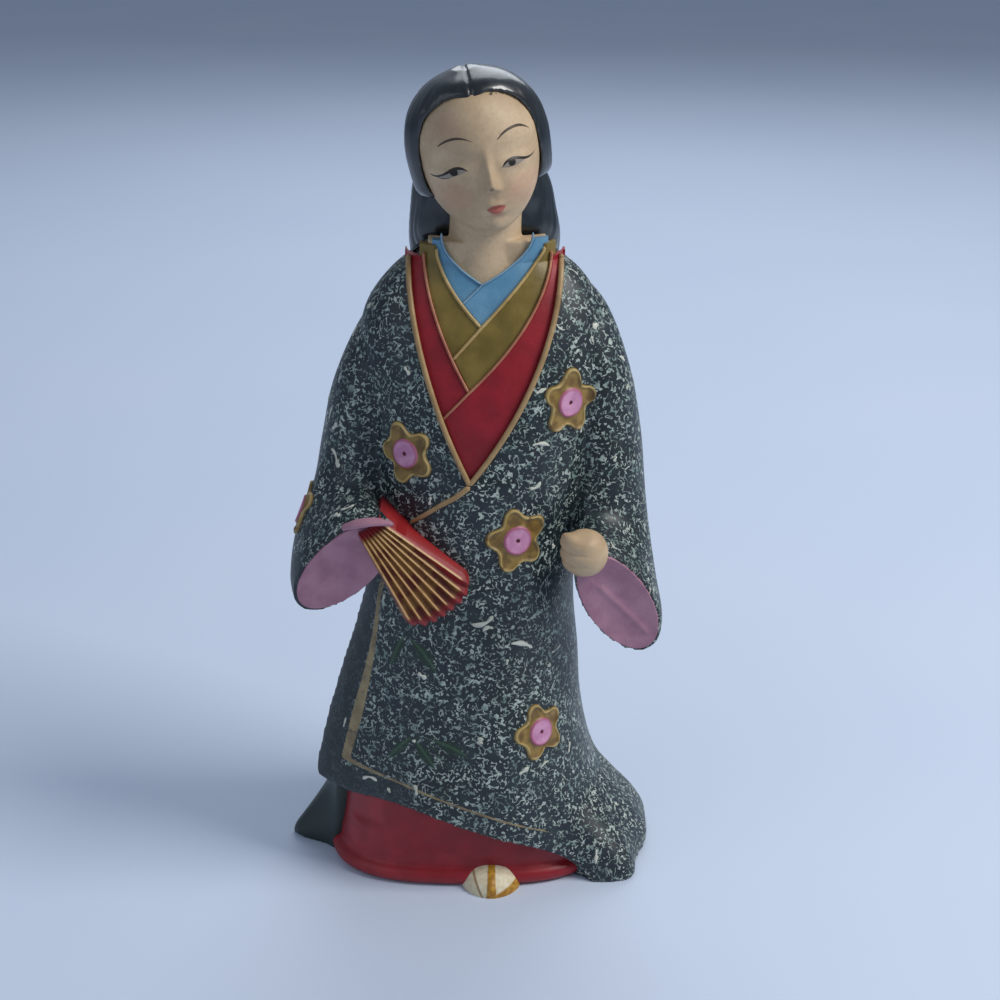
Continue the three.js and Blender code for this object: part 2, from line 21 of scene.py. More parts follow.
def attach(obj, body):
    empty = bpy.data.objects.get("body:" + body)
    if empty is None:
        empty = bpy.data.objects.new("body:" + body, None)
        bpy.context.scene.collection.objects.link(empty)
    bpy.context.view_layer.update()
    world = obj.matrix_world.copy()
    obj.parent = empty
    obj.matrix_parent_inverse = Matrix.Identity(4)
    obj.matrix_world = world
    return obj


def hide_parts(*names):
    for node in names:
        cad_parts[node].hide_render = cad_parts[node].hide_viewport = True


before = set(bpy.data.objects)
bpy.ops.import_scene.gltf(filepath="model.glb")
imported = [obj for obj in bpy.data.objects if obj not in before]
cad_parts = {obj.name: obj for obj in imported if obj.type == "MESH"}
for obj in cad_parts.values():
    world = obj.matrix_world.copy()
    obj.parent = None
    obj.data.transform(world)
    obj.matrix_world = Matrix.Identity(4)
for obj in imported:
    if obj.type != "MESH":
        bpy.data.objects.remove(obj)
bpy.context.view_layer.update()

Array = np.ndarray
Curve = Callable[[Array], Array]
Color = tuple[float, float, float, float]

MM = 0.001
BODY = "root"
NODE = "figure"

log = logging.getLogger("figurine")


# Curves and small formulas


def smooth_table(keys: Sequence[float], values: Sequence) -> Curve:
    """Joins pairs by cubic Hermite pieces, with each slope taken from the two neighbours.

    Args:
        keys: Rising places along the curve.
        values: A number or a vector at each key.

    Returns:
        A function of an array of places, held at the ends.
    """
    k = np.asarray(keys, float)
    v = np.asarray(values, float)
    index = np.arange(len(k))
    before, after = np.maximum(index - 1, 0), np.minimum(index + 1, len(k) - 1)
    span = (k[after] - k[before]).reshape((-1,) + (1,) * (v.ndim - 1))
    slope = (v[after] - v[before]) / span

    def at(place: Array) -> Array:
        """The curve's value at each place."""
        t = np.clip(np.asarray(place, float), k[0], k[-1])
        i = np.clip(np.searchsorted(k, t, side="right") - 1, 0, len(k) - 2)
        h = k[i + 1] - k[i]
        s = (t - k[i]) / h
        if v.ndim > 1:
            s, h = s[..., None], h[..., None]
        return (
            (2 * s**3 - 3 * s**2 + 1) * v[i] + (s**3 - 2 * s**2 + s) * h * slope[i]
            + (-2 * s**3 + 3 * s**2) * v[i + 1] + (s**3 - s**2) * h * slope[i + 1]
        )

    return at


def smooth_step(start: float, end: float, at: Array) -> Array:
    """Rises from 0 at start to 1 at end along 3t^2 - 2t^3."""
    t = np.clip((at - start) / (end - start), 0, 1)
    return t * t * (3 - 2 * t)


def bell(distance: Array, size: Array | float) -> Array:
    """A soft bump: e to the power of minus the squared distance over size."""
    return np.exp(-((distance / size) ** 2))


def turn_between(a: Array, b: float) -> Array:
    """The signed turn from b to a, in degrees from -180 to 180."""
    return (a - b + 540) % 360 - 180


def oval_radius(angle: Array, right: Array, left: Array, front: Array, back: Array, n: float) -> Array:
    """Radius of an oval with its own half-axis on each side: (|cos/w|^n + |sin/d|^n)^(-1/n)."""
    c, s = np.cos(np.radians(angle)), np.sin(np.radians(angle))
    across = np.abs(c / np.where(c < 0, right, left)) ** n
    along = np.abs(s / np.where(s < 0, front, back)) ** n
    return (across + along) ** (-1 / n)


def polar(angle: Array, radius: Array, z: Array) -> Array:
    """Points at an angle and radius round the Z axis."""
    angle, radius, z = np.broadcast_arrays(np.radians(angle), radius, z)
    return np.stack([radius * np.cos(angle), radius * np.sin(angle), z], -1)


def unit(v: Array) -> Array:
    """Vectors cut to length 1."""
    return v / np.maximum(np.linalg.norm(v, axis=-1, keepdims=True), 1e-12)


def mesh_grid(rows: Array, columns: Array) -> tuple[Array, Array]:
    """The two parameters of a surface on a grid, rows first."""
    return np.meshgrid(rows, columns, indexing="ij")


# Closed skins


@dataclass
class Shell:
    """A closed skin of quads and triangles, in millimetres."""

    points: Array
    quads: Array
    tris: Array = field(default_factory=lambda: np.empty((0, 3), int))

    def outward(self) -> "Shell":
        """Turns the faces round where the volume, a sum of a . (b x c), comes out negative."""
        corners = np.concatenate([self.quads[:, [0, 1, 2]], self.quads[:, [0, 2, 3]], self.tris])
        a, b, c = (self.points[corners[:, k]] for k in range(3))
        if np.einsum("ij,ij->", a, np.cross(b, c)) < 0:
            return Shell(self.points, self.quads[:, ::-1], self.tris[:, ::-1])
        return self


def joined(shells: Sequence[Shell]) -> Shell:
    """Several shells as one list of points and faces."""
    starts = np.cumsum([0] + [len(s.points) for s in shells])
    return Shell(
        np.concatenate([s.points for s in shells]),
        np.concatenate([s.quads + start for s, start in zip(shells, starts)]),
        np.concatenate([s.tris + start for s, start in zip(shells, starts)]),
    )


def ring_shell(rings: Array) -> Shell:
    """A skin over rings of points, each closed on itself, with a fan to the middle at both ends."""
    rows, columns = rings.shape[:2]
    r, c = mesh_grid(np.arange(rows - 1), np.arange(columns))
    after = (c + 1) % columns
    low, high = r * columns, (r + 1) * columns
    quads = np.stack([low + c, low + after, high + after, high + c], -1).reshape(-1, 4)
    ends = np.stack([rings[0].mean(0), rings[-1].mean(0)])
    first = np.arange(columns)
    second = (first + 1) % columns
    top = (rows - 1) * columns
    size = rows * columns
    fans = [np.stack([second, first, np.full(columns, size)], -1),
            np.stack([top + first, top + second, np.full(columns, size + 1)], -1)]
    return Shell(np.concatenate([rings.reshape(-1, 3), ends]), quads, np.concatenate(fans)).outward()


def slab_shell(outer: Array, inner: Array) -> Shell:
    """A closed slab between two grids of points of the same size."""
    rows, columns = outer.shape[:2]
    size = rows * columns
    r, c = mesh_grid(np.arange(rows - 1), np.arange(columns - 1))
    a = (r * columns + c).reshape(-1)
    front = np.stack([a, a + 1, a + columns + 1, a + columns], -1)
    back = front[:, ::-1] + size
    lap = np.concatenate([
        np.arange(columns - 1),
        np.arange(rows - 1) * columns + columns - 1,
        (rows - 1) * columns + np.arange(columns - 1, 0, -1),
        np.arange(rows - 1, 0, -1) * columns,
    ])
    ahead = np.roll(lap, -1)
    walls = np.stack([ahead, lap, lap + size, ahead + size], -1)
    points = np.concatenate([outer.reshape(-1, 3), inner.reshape(-1, 3)])
    return Shell(points, np.concatenate([front, back, walls])).outward()


def cord_shell(path: Array, facing: Array, half_width: Array | float, height: float,
               sides: int = 10) -> Shell:
    """A low rounded ridge along a path: an ellipse carried along it, drawn in to a point at the ends.

    Args:
        path: Points along the middle of the ridge.
        facing: The outward direction at each point, or one for all.
        half_width: Half the width across, at each point or one for all.
        height: Half the thickness, out of the surface and into it.
        sides: Points in the ellipse.
    """
    along = unit(np.gradient(path, axis=0))
    facing = np.broadcast_to(facing, path.shape)
    across = unit(np.cross(along, facing))
    out = np.cross(across, along)
    step = np.linalg.norm(np.diff(path, axis=0), axis=1)
    run = np.concatenate([[0], np.cumsum(step)])
    half_width = np.broadcast_to(half_width, len(path))
    to_end = np.minimum(run, run[-1] - run)
    taper = np.sqrt(np.clip(1 - (1 - np.clip(to_end / np.maximum(half_width, 1e-6), 0, 1)) ** 2, 0.01, 1))
    a = np.linspace(0, 2 * np.pi, sides, endpoint=False)
    rings = (path[:, None] + across[:, None] * np.cos(a)[:, None] * (half_width * taper)[:, None, None]
             + out[:, None] * np.sin(a)[:, None] * (height * taper)[:, None, None])
    return ring_shell(rings)


def resampled(path: Array, step: float) -> Array:
    """A smooth curve through a few points, cut at even steps of its own length."""
    run = np.concatenate([[0], np.cumsum(np.linalg.norm(np.diff(path, axis=0), axis=1))])
    fine = smooth_table(run, path)(np.linspace(0, run[-1], 400))
    length = np.concatenate([[0], np.cumsum(np.linalg.norm(np.diff(fine, axis=0), axis=1))])
    even = np.linspace(0, length[-1], max(3, int(length[-1] / step)))
    return np.stack([np.interp(even, length, fine[:, k]) for k in range(fine.shape[1])], -1)


def evened(points: Array, quads: Array, passes: int, shrink: bool = False) -> Array:
    """Moves each point half-way to the mean of its neighbours, and back out again if it must not shrink.

    Args:
        points: The skin's points.
        quads: Its faces.
        passes: How many times.
        shrink: True leaves out the move back, which rounds creases and edges more.
    """
    sides = np.concatenate([quads[:, [k, (k + 1) % 4]] for k in range(4)])
    sides = np.unique(np.sort(sides, axis=1), axis=0)
    size = len(points)
    degree = np.bincount(sides.ravel(), minlength=size)[:, None]
    for share in ([0.5] if shrink else [0.5, -0.52]) * passes:
        total = np.stack([
            np.bincount(sides[:, 0], points[sides[:, 1], k], size)
            + np.bincount(sides[:, 1], points[sides[:, 0], k], size) for k in range(3)], -1)
        points = points + share * (total / degree - points)
    return points


def mesh_of(name: str, shell: Shell) -> bpy.types.Mesh:
    """A Blender mesh in metres, shaded smooth."""
    mesh = bpy.data.meshes.new(name)
    mesh.from_pydata((shell.points * MM).tolist(), [], shell.quads.tolist() + shell.tris.tolist())
    mesh.shade_smooth()
    return mesh


def read_back(obj: bpy.types.Object) -> Shell:
    """The points and quads of an object with its modifiers applied, in millimetres."""
    bpy.context.view_layer.update()
    done = obj.evaluated_get(bpy.context.evaluated_depsgraph_get())
    mesh = done.to_mesh()
    points = np.empty(len(mesh.vertices) * 3, np.float32)
    mesh.vertices.foreach_get("co", points)
    corners = np.empty(len(mesh.loops), np.int32)
    mesh.loops.foreach_get("vertex_index", corners)
    done.to_mesh_clear()
    return Shell(points.reshape(-1, 3).astype(float) / MM, corners.reshape(-1, 4).astype(int))


def fused(shells: Sequence[Shell], voxel: float, rounding: int, evening: int) -> Shell:
    """One skin round several closed shells that run into each other, as one cast is.

    A voxel remesh follows the outside of their union. A few passes that shrink round its creases
    and edges, and further ones even it out and keep its size.
    """
    source = bpy.data.objects.new("to_fuse", mesh_of("to_fuse", joined(shells)))
    bpy.context.collection.objects.link(source)
    skin = source.modifiers.new("skin", "REMESH")
    skin.mode = "VOXEL"
    skin.voxel_size = voxel * MM
    skin.adaptivity = 0.0
    made = read_back(source)
    bpy.data.objects.remove(source)
    made.points = evened(made.points, made.quads, rounding, shrink=True)
    made.points = evened(made.points, made.quads, evening)
    return made.outward()


def normals_of(shell: Shell) -> Array:
    """The outward direction at each point: the sum of the crossed diagonals of its quads."""
    a, b, c, d = (shell.points[shell.quads[:, k]] for k in range(4))
    face = np.cross(c - a, d - b)
    size = len(shell.points)
    total = np.stack([sum(np.bincount(shell.quads[:, k], face[:, axis], size) for k in range(4))
                      for axis in range(3)], -1)
    return unit(total)


# Painter's expressions


class Tone:
    """A shader socket that stands in an expression: +, -, *, / and ** add Math nodes."""

    def __init__(self, pot: "Pot", socket: bpy.types.NodeSocket) -> None:
        """Keeps the pot that the socket belongs to."""
        self.pot = pot
        self.socket = socket

    def _math(self, operation: str, a: "Value", b: "Value") -> "Tone":
        """One Math node."""
        return self.pot.node("ShaderNodeMath", {"operation": operation}, {0: a, 1: b})

    def __add__(self, other: "Value") -> "Tone":
        """self + other."""
        return self._math("ADD", self, other)

    def __sub__(self, other: "Value") -> "Tone":
        """self - other."""
        return self._math("SUBTRACT", self, other)

    def __rsub__(self, other: "Value") -> "Tone":
        """other - self."""
        return self._math("SUBTRACT", other, self)

    def __mul__(self, other: "Value") -> "Tone":
        """self * other."""
        return self._math("MULTIPLY", self, other)

    def __truediv__(self, other: "Value") -> "Tone":
        """self / other."""
        return self._math("DIVIDE", self, other)

    def __pow__(self, other: "Value") -> "Tone":
        """self to the power of other."""
        return self._math("POWER", self, other)

    def __abs__(self) -> "Tone":
        """The size of self without its sign."""
        return self._math("ABSOLUTE", self, 0.0)

    __radd__ = __add__
    __rmul__ = __mul__

    def least(self, other: "Value") -> "Tone":
        """The smaller of the two."""
        return self._math("MINIMUM", self, other)

    def most(self, other: "Value") -> "Tone":
        """The larger of the two."""
        return self._math("MAXIMUM", self, other)

    def ramp(self, low: "Value", high: "Value") -> "Tone":
        """Rises smoothly from 0 where self is low to 1 where it is high."""
        return self.pot.node("ShaderNodeMapRange", {"interpolation_type": "SMOOTHSTEP"},
                             {0: self, 1: low, 2: high, 3: 0.0, 4: 1.0})

    def part(self, axis: int) -> "Tone":
        """One coordinate of a vector."""
        return self.pot.node("ShaderNodeSeparateXYZ", {}, {0: self}, output=axis)


Value = "Tone | float | Color"


def srgb(red: float, green: float, blue: float) -> Color:
    """A screen colour from 0 to 255 as linear light."""
    def linear(c: float) -> float:
        """One channel."""
        c /= 255
        return c / 12.92 if c <= 0.04045 else ((c + 0.055) / 1.055) ** 2.4
    return (linear(red), linear(green), linear(blue), 1.0)


class Pot:
    """A paint pot: one material and the nodes that mix it."""

    def __init__(self, name: str, **sheen: float) -> None:
        """Starts a plain shader.

        Args:
            name: The finish's name.
            sheen: Values set on the shader's own sockets, with _ for a space.
        """
        self.material = bpy.data.materials.new(name)
        self.material.use_nodes = True
        self.tree = self.material.node_tree
        self.shader = next(n for n in self.tree.nodes if n.type == "BSDF_PRINCIPLED")
        for socket, value in sheen.items():
            self.shader.inputs[socket.replace("_", " ")].default_value = value

    def node(self, kind: str, settings: dict, inputs: dict, output: int | str = 0) -> Tone:
        """Adds any node.

        Args:
            kind: The node's type.
            settings: Its own settings; "stops" fills a ramp and "points" a curve.
            inputs: The value or the Tone for each socket, by place or name.
            output: Which of its sockets to hand back.
        """
        made = self.tree.nodes.new(kind)
        for name, value in settings.items():
            if name == "stops":
                self._fill_ramp(made.color_ramp, value)
            elif name == "points":
                self._fill_curve(made.mapping, value)
            else:
                setattr(made, name, value)
        for socket, value in inputs.items():
            if isinstance(value, Tone):
                self.tree.links.new(value.socket, made.inputs[socket])
            else:
                made.inputs[socket].default_value = value
        return Tone(self, made.outputs[output])

    @staticmethod
    def _fill_ramp(ramp: bpy.types.ColorRamp, stops: Sequence[tuple[float, Color]]) -> None:
        """Sets a ramp's stops."""
        while len(ramp.elements) < len(stops):
            ramp.elements.new(1.0)
        for element, (place, color) in zip(ramp.elements, stops):
            element.position = place
            element.color = color

    @staticmethod
    def _fill_curve(mapping: bpy.types.CurveMapping, points: Sequence[tuple[float, float]]) -> None:
        """Sets the points of a one-line curve that starts with two."""
        line = mapping.curves[0].points
        while len(line) < len(points):
            line.new(0.5, 0.5)
        for spot, (x, y) in zip(line, points):
            spot.location = (x, y)
            spot.handle_type = "AUTO"
        mapping.update()

    def place(self) -> Tone:
        """The point in millimetres of the frame."""
        coords = self.node("ShaderNodeTexCoord", {}, {}, output="Object")
        return self.node("ShaderNodeVectorMath", {"operation": "SCALE"},
                         {0: coords, "Scale": 1 / MM}, output=0)

    def noise(self, place: Tone, size: float, detail: float = 2.0, shift: float = 0.0,
              distortion: float = 0.0) -> Tone:
        """Soft noise from 0 to 1 with blots of about this size in millimetres."""
        moved = self.node("ShaderNodeVectorMath", {"operation": "ADD"},
                          {0: place, 1: (shift, shift * 0.7, shift * 1.3)})
        return self.node("ShaderNodeTexNoise", {},
                         {"Vector": moved, "Scale": 1 / size, "Detail": detail, "Distortion": distortion})

    def mark(self, name: str) -> Tone:
        """A vector that each point of the piece carries."""
        return self.node("ShaderNodeAttribute", {"attribute_name": name}, {}, output="Vector")

    def mix(self, share: "Value", a: "Value", b: "Value") -> Tone:
        """Colour a where share is 0 and b where it is 1."""
        return self.node("ShaderNodeMix", {"data_type": "RGBA"}, {0: share, 6: a, 7: b}, output=2)

    def feed(self, socket: str, value: "Value") -> None:
        """Links or sets one of the shader's sockets."""
        if isinstance(value, Tone):
            self.tree.links.new(value.socket, self.shader.inputs[socket])
        else:
            self.shader.inputs[socket].default_value = value

    def bump(self, height: Tone, depth: float, strength: float = 1.0) -> None:
        """Fine relief: height 1 stands this many millimetres out."""
        self.feed("Normal", self.node("ShaderNodeBump", {},
                                      {"Strength": strength, "Distance": depth * MM, "Height": height}))


def dress(name: str, shell: Shell, pot: Pot, marks: dict[str, Array] | None = None,
          sharp: float | None = None) -> bpy.types.Object:
    """Makes a finished piece that rides on the body and stands for the solid.

    Args:
        name: The piece's name.
        shell: Its skin.
        pot: Its paint.
        marks: Vectors that each point carries, for the paint.
        sharp: Edges turned by more than this many degrees stay sharp.
    """
    mesh = mesh_of(name, shell)
    if sharp is not None:
        mesh.set_sharp_from_angle(angle=math.radians(sharp))
    for mark, values in (marks or {}).items():
        carried = mesh.attributes.new(mark, "FLOAT_VECTOR", "POINT")
        flat = np.zeros((len(shell.points), 3), np.float32)
        flat[:, :values.shape[1]] = values
        carried.data.foreach_set("vector", flat.ravel())
    mesh.materials.append(pot.material)
    piece = bpy.data.objects.new(name, mesh)
    bpy.context.collection.objects.link(piece)
    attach(piece, BODY)
    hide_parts(NODE)
    log.info("%s: %d faces", name, len(mesh.polygons))
    return piece


# The view


@dataclass(frozen=True)
class Viewpoint:
    """Where the photograph was taken from, so that a painted mark can be placed by its pixel."""

    at: tuple[float, float, float] = (7.0, -520.0, 322.0)
    pitch: float = 22.0
    focal: float = 1900.0
    middle: float = 500.0
    sensor: float = 36.0

    def ray(self, pixel: tuple[float, float]) -> Array:
        """The direction of the line of sight through a pixel of the photograph."""
        tilt = math.radians(self.pitch)
        ahead = np.array([0, math.cos(tilt), -math.sin(tilt)])
        up = np.array([0, math.sin(tilt), math.cos(tilt)])
        across = (pixel[0] - self.middle) / self.focal
        down = (pixel[1] - self.middle) / self.focal
        return unit(ahead + across * np.array([1.0, 0, 0]) - down * up)

    def make_camera(self) -> None:
        """Sets up the camera that looks along +Y and down by the pitch."""
        lens = bpy.data.cameras.new("camera")
        lens.sensor_width = self.sensor
        lens.lens = self.focal * self.sensor / (2 * self.middle)
        camera = bpy.data.objects.new("camera", lens)
        camera.location = Vector(self.at) * MM
        camera.rotation_euler = (math.radians(90 - self.pitch), 0, 0)
        bpy.context.collection.objects.link(camera)
        bpy.context.scene.camera = camera


VIEW = Viewpoint()


class Ground:
    """A finished skin that painted marks and low pieces are laid on."""

    def __init__(self, shell: Shell) -> None:
        """Keeps the skin, its outward directions and a tree to find places on it."""
        self.shell = shell
        self.normals = normals_of(shell)
        self.tree = BVHTree.FromPolygons(shell.points.tolist(), shell.quads.tolist())
        self.rest = bpy.data.objects.new("ground_rest", mesh_of("ground_rest", shell))
        bpy.context.collection.objects.link(self.rest)

    def seen(self, pixel: tuple[float, float]) -> Array:
        """The place that the photograph shows at a pixel."""
        hit = self.tree.ray_cast(Vector(VIEW.at), Vector(VIEW.ray(pixel)))[0]
        return np.array(hit)

    def facing(self, place: Array, spread: float = 4.0) -> Array:
        """The outward direction near a place, as the mean over a small round patch."""
        near = np.linalg.norm(self.shell.points - place, axis=1) < spread
        return unit(self.normals[near].sum(0))

    def onto(self, points: Array) -> Array:
        """Moves points to the nearest places on the skin, with a Shrinkwrap modifier."""
        flat = points.reshape(-1, 3)
        loose = bpy.data.objects.new("loose", mesh_of("loose", Shell(flat, np.empty((0, 4), int))))
        bpy.context.collection.objects.link(loose)
        wrap = loose.modifiers.new("wrap", "SHRINKWRAP")
        wrap.target = self.rest
        moved = read_back(loose).points.reshape(points.shape)
        bpy.data.objects.remove(loose)
        return moved

    def done(self) -> None:
        """Removes the copy that the points were moved onto."""
        bpy.data.objects.remove(self.rest)


# The gown's form


@dataclass(frozen=True)
class Gown:
    """Half-widths and depths of the gown about the Z axis at rising heights."""

    heights: tuple = (0, 4, 10, 17, 25, 35, 50, 66, 83, 105, 125, 145, 160, 172, 182, 190)
    right: tuple = (46, 46, 45.5, 45, 44.5, 43.5, 40.5, 36.5, 32.5, 31, 30.5, 31.5, 33, 31, 24, 14)
    left: tuple = (53.5, 53, 49.5, 43.5, 37.5, 34, 31.5, 30.5, 29, 29.5, 32.5, 35, 37, 35.4, 29.5, 19)
    front: tuple = (35, 35, 35, 34.8, 34.5, 33.8, 32.5, 30.5, 28.8, 27.6, 27.2, 25.5, 22, 18, 14, 11)
    back: tuple = (43, 41, 37, 33, 30, 28, 26, 24, 22, 20, 20, 20.5, 20.5, 19, 16.5, 14)
    squareness: float = 2.3
    train_hem: float = 2.0
    # Each lobe of the train: angle, half-angle, reach and height.
    lobes: tuple = ((327, 9, 7.5, 20), (183, 7, 9.5, 20), (168, 16, 6, 22), (78, 26, 5, 26))
    folds: int = 9
    fold_depth: float = 1.5
    fold_top: float = 92.0
    fold_phase: float = 0.6
    fold_start: float = 350.0
    fold_span: float = 200.0

    def side(self, name: str, z: Array) -> Array:
        """The half-axis on one side at each height."""
        return smooth_table(self.heights, getattr(self, name))(z)

    def radius(self, angle: Array, z: Array) -> Array:
        """The oval of that height, plus the lobes of the train and the folds near the ground.

        A lobe is a bell round its angle that dies out with height as (1 - z/height)^1.1. The folds
        are a cosine round the back, deepest at the ground.
        """
        radius = oval_radius(angle, self.side("right", z), self.side("left", z), self.side("front", z),
                             self.side("back", z), self.squareness)
        for middle, half, reach, height in self.lobes:
            lift = np.clip((z - self.train_hem) / height, 0, 1)
            radius = radius + reach * bell(turn_between(angle, middle), half) * (1 - lift) ** 1.1
        round_back = (angle + 720 - self.fold_start) % 360
        share = round_back / self.fold_span
        fall = np.clip(1 - np.maximum(z, 0) / self.fold_top, 0, 1)
        wave = np.cos(share * self.folds * 2 * np.pi + self.fold_phase)
        depth = self.fold_depth * np.sin(np.pi * np.clip(share, 0, 1)) * fall * wave
        return radius + np.where(share > 1, 0, depth)

    def front_y(self, x: Array, z: Array) -> Array:
        """The front of the gown at a place across and up, from the oval of that height."""
        width = np.where(x < 0, self.side("right", z), self.side("left", z))
        left_over = np.clip(1 - np.abs(x / width) ** self.squareness, 0, 1)
        return -self.side("front", z) * left_over ** (1 / self.squareness)


GOWN = Gown()


@dataclass(frozen=True)
class Skirt:
    """The under-skirt below the panel, with a rolled lip at the ground."""

    right: float = 44.0
    left: float = 38.0
    front: float = 32.5
    back: float = 26.0
    squareness: float = 3.0
    profile_z: tuple = (0, 0.5, 1.6, 3.0, 4.4, 5.6, 7.0, 9.5, 13, 22, 40)
    profile_out: tuple = (-0.9, 0.3, 1.4, 1.6, 0.9, -0.6, -1.1, -1.3, -2.0, -3.2, -5)
    wave: float = 0.5
    under_gown: float = 2.0
    free_lip: float = 10.0
    free_below: float = 8.0
    held_above: float = 18.0

    def radius(self, angle: Array, z: Array) -> Array:
        """A squarish oval, in and out with the profile, with a few slack waves round the front.

        The lip at the ground is free. Above it the skirt stays inside the gown all round.
        """
        plain = oval_radius(angle, self.right, self.left, self.front, self.back, self.squareness)
        slack = self.wave * np.sin(np.radians(angle) * 7) * smooth_step(4, 14, z)
        loose = plain + smooth_table(self.profile_z, self.profile_out)(z) + slack
        room = self.free_lip * (1 - smooth_step(self.free_below, self.held_above, z))
        return np.minimum(loose, GOWN.radius(angle, z) - self.under_gown + room)

    def build(self) -> Shell:
        """Rings of the profile, close together at the lip."""
        z = np.concatenate([np.linspace(0, 8, 34), np.linspace(8.6, 40, 36)])
        rows, angle = mesh_grid(z, np.arange(0, 360, 0.8))
        return ring_shell(polar(angle, self.radius(angle, rows), rows))


SKIRT = Skirt()


@dataclass(frozen=True)
class Panel:
    """The front panel, which overlaps from the figure's left and ends in a free edge on its right."""

    top: float = 127.5
    nominal_hem: float = 29.0
    edge_heights: tuple = (29, 60, 83, 97, 108, 116, 122, 127.5)
    edge_angles: tuple = (197, 196, 199, 208, 222, 237, 252, 267)
    end_angle: float = 332.0
    hem_angles: tuple = (197, 210, 236, 258, 281, 300, 310, 318, 324, 332)
    hem_heights: tuple = (29.5, 28.6, 27.6, 23.1, 17.8, 12.8, 8.6, 3.5, 0, 0)
    proud: float = 2.4
    corner_flare: float = 5.0
    sunk: float = 6.0
    rows: int = 120
    columns: int = 200

    def hem(self, angle: Array) -> Array:
        """The height of the hem at an angle."""
        return smooth_table(self.hem_angles, self.hem_heights)(angle)

    def build(self) -> Shell:
        """A slab from the free edge round to the left side, proud of the gown.

        v runs up from the hem and u round from the free edge. It stands out least near the left
        side, where it runs into the train, and flares at the free corner of the hem.
        """
        v, u = mesh_grid(np.linspace(0, 1, self.rows + 1), np.linspace(0, 1, self.columns + 1))
        nominal = self.nominal_hem + v * (self.top - self.nominal_hem)
        edge = smooth_table(self.edge_heights, self.edge_angles)(nominal)
        angle = edge + (self.end_angle - edge) * u
        hem = self.hem(angle)
        z = hem + v * (self.top - hem)
        raised = (self.proud * (1 - 0.94 * smooth_step(280, 322, angle))
                  * (1 - 0.7 * smooth_step(0.6, 1, v)))
        flare = self.corner_flare * (1 - v) ** 1.6 * (1 - smooth_step(0, 0.22, u))
        sink = 2.2 * smooth_step(321, self.end_angle, angle)
        radius = GOWN.radius(angle, z)
        return slab_shell(polar(angle, radius + raised + flare - sink, z),
                          polar(angle, radius - self.sunk, z))


PANEL = Panel()


@dataclass(frozen=True)
class Neckline:
    """A V on the chest: its lowest point, its top, its reach and bow to each side, and the depth
    of what lies inside it below the gown's front."""

    x: float
    z: float
    top: float
    to_right: float
    to_left: float
    bow_right: float
    bow_left: float
    depth: float

    def edge(self, z: Array, left: bool) -> Array:
        """x of one side: from the lowest point it bows out as 1 - (1 - t)^bow."""
        t = np.clip((z - self.z) / (self.top - self.z), 0, 1)
        reach, bow = (self.to_left, self.bow_left) if left else (-self.to_right, self.bow_right)
        return self.x + reach * (1 - (1 - t) ** bow)


ROBE_V = Neckline(-1.5, 127.3, 187, 17, 25.6, 1.7, 1.85, 1.2)
RED_V = Neckline(-1.6, 152.8, 188, 12.5, 22.9, 1.65, 1.7, 1.9)
GOLD_V = Neckline(1.8, 169.7, 189.3, 12.3, 17.4, 1.6, 1.15, 2.6)
BLUE_V = Neckline(2, 180.6, 193.5, 11.1, 14.1, 2, 1.85, 3.4)


def chest(x: Array, z: Array, depth: Array | float) -> Array:
    """Points on the chest this far behind the gown's front."""
    x, z = np.broadcast_arrays(np.asarray(x, float), np.asarray(z, float))
    return np.stack([x, GOWN.front_y(x, np.minimum(z, 186)) + depth, z], -1)


@dataclass(frozen=True)
class Sleeve:
    """Stations from the shoulder to the cuff: the middle, the half-axis towards the top of the
    cuff and the half-axis towards the outside."""

    at: tuple
    up: tuple
    out: tuple
    columns: int = 80
    steps: int = 10
    rim: float = 0.93
    floor: float = 0.86
    hollow: float = 3.0

    def part(self, name: str, t: Array) -> Array:
        """One of the three vectors along the arm, smooth between the stations."""
        return smooth_table(range(len(self.at)), getattr(self, name))(t)

    def ring(self, t: Array, scale: Array) -> Array:
        """Ellipses round the arm at each t, made larger or smaller by scale."""
        a = np.linspace(0, 2 * np.pi, self.columns, endpoint=False)
        across = self.part("up", t)[:, None] * np.cos(a)[:, None] + self.part("out", t)[:, None] * np.sin(a)[:, None]
        return self.part("at", t)[:, None] + across * np.reshape(scale, (-1, 1, 1))

    def mouth_normal(self) -> Array:
        """The direction out of the cuff's mouth."""
        last = len(self.at) - 1
        up, out = (self.part(name, np.array([last]))[0] for name in ("up", "out"))
        flat = unit(np.cross(up, out))
        along = np.subtract(self.at[last], self.at[last - 1])
        return flat * np.sign(flat @ along)

    def build(self) -> Shell:
        """The arm, and a shallow hollow in the mouth of the cuff."""
        last = len(self.at) - 1
        t = np.linspace(0, last, last * self.steps + 1)
        inwards = -self.mouth_normal() * self.hollow
        end = np.array([last, last])
        mouth = self.ring(end, [self.rim, self.floor]) + np.stack([np.zeros(3), inwards])[:, None]
        return ring_shell(np.concatenate([self.ring(t, np.ones(len(t))), mouth]))


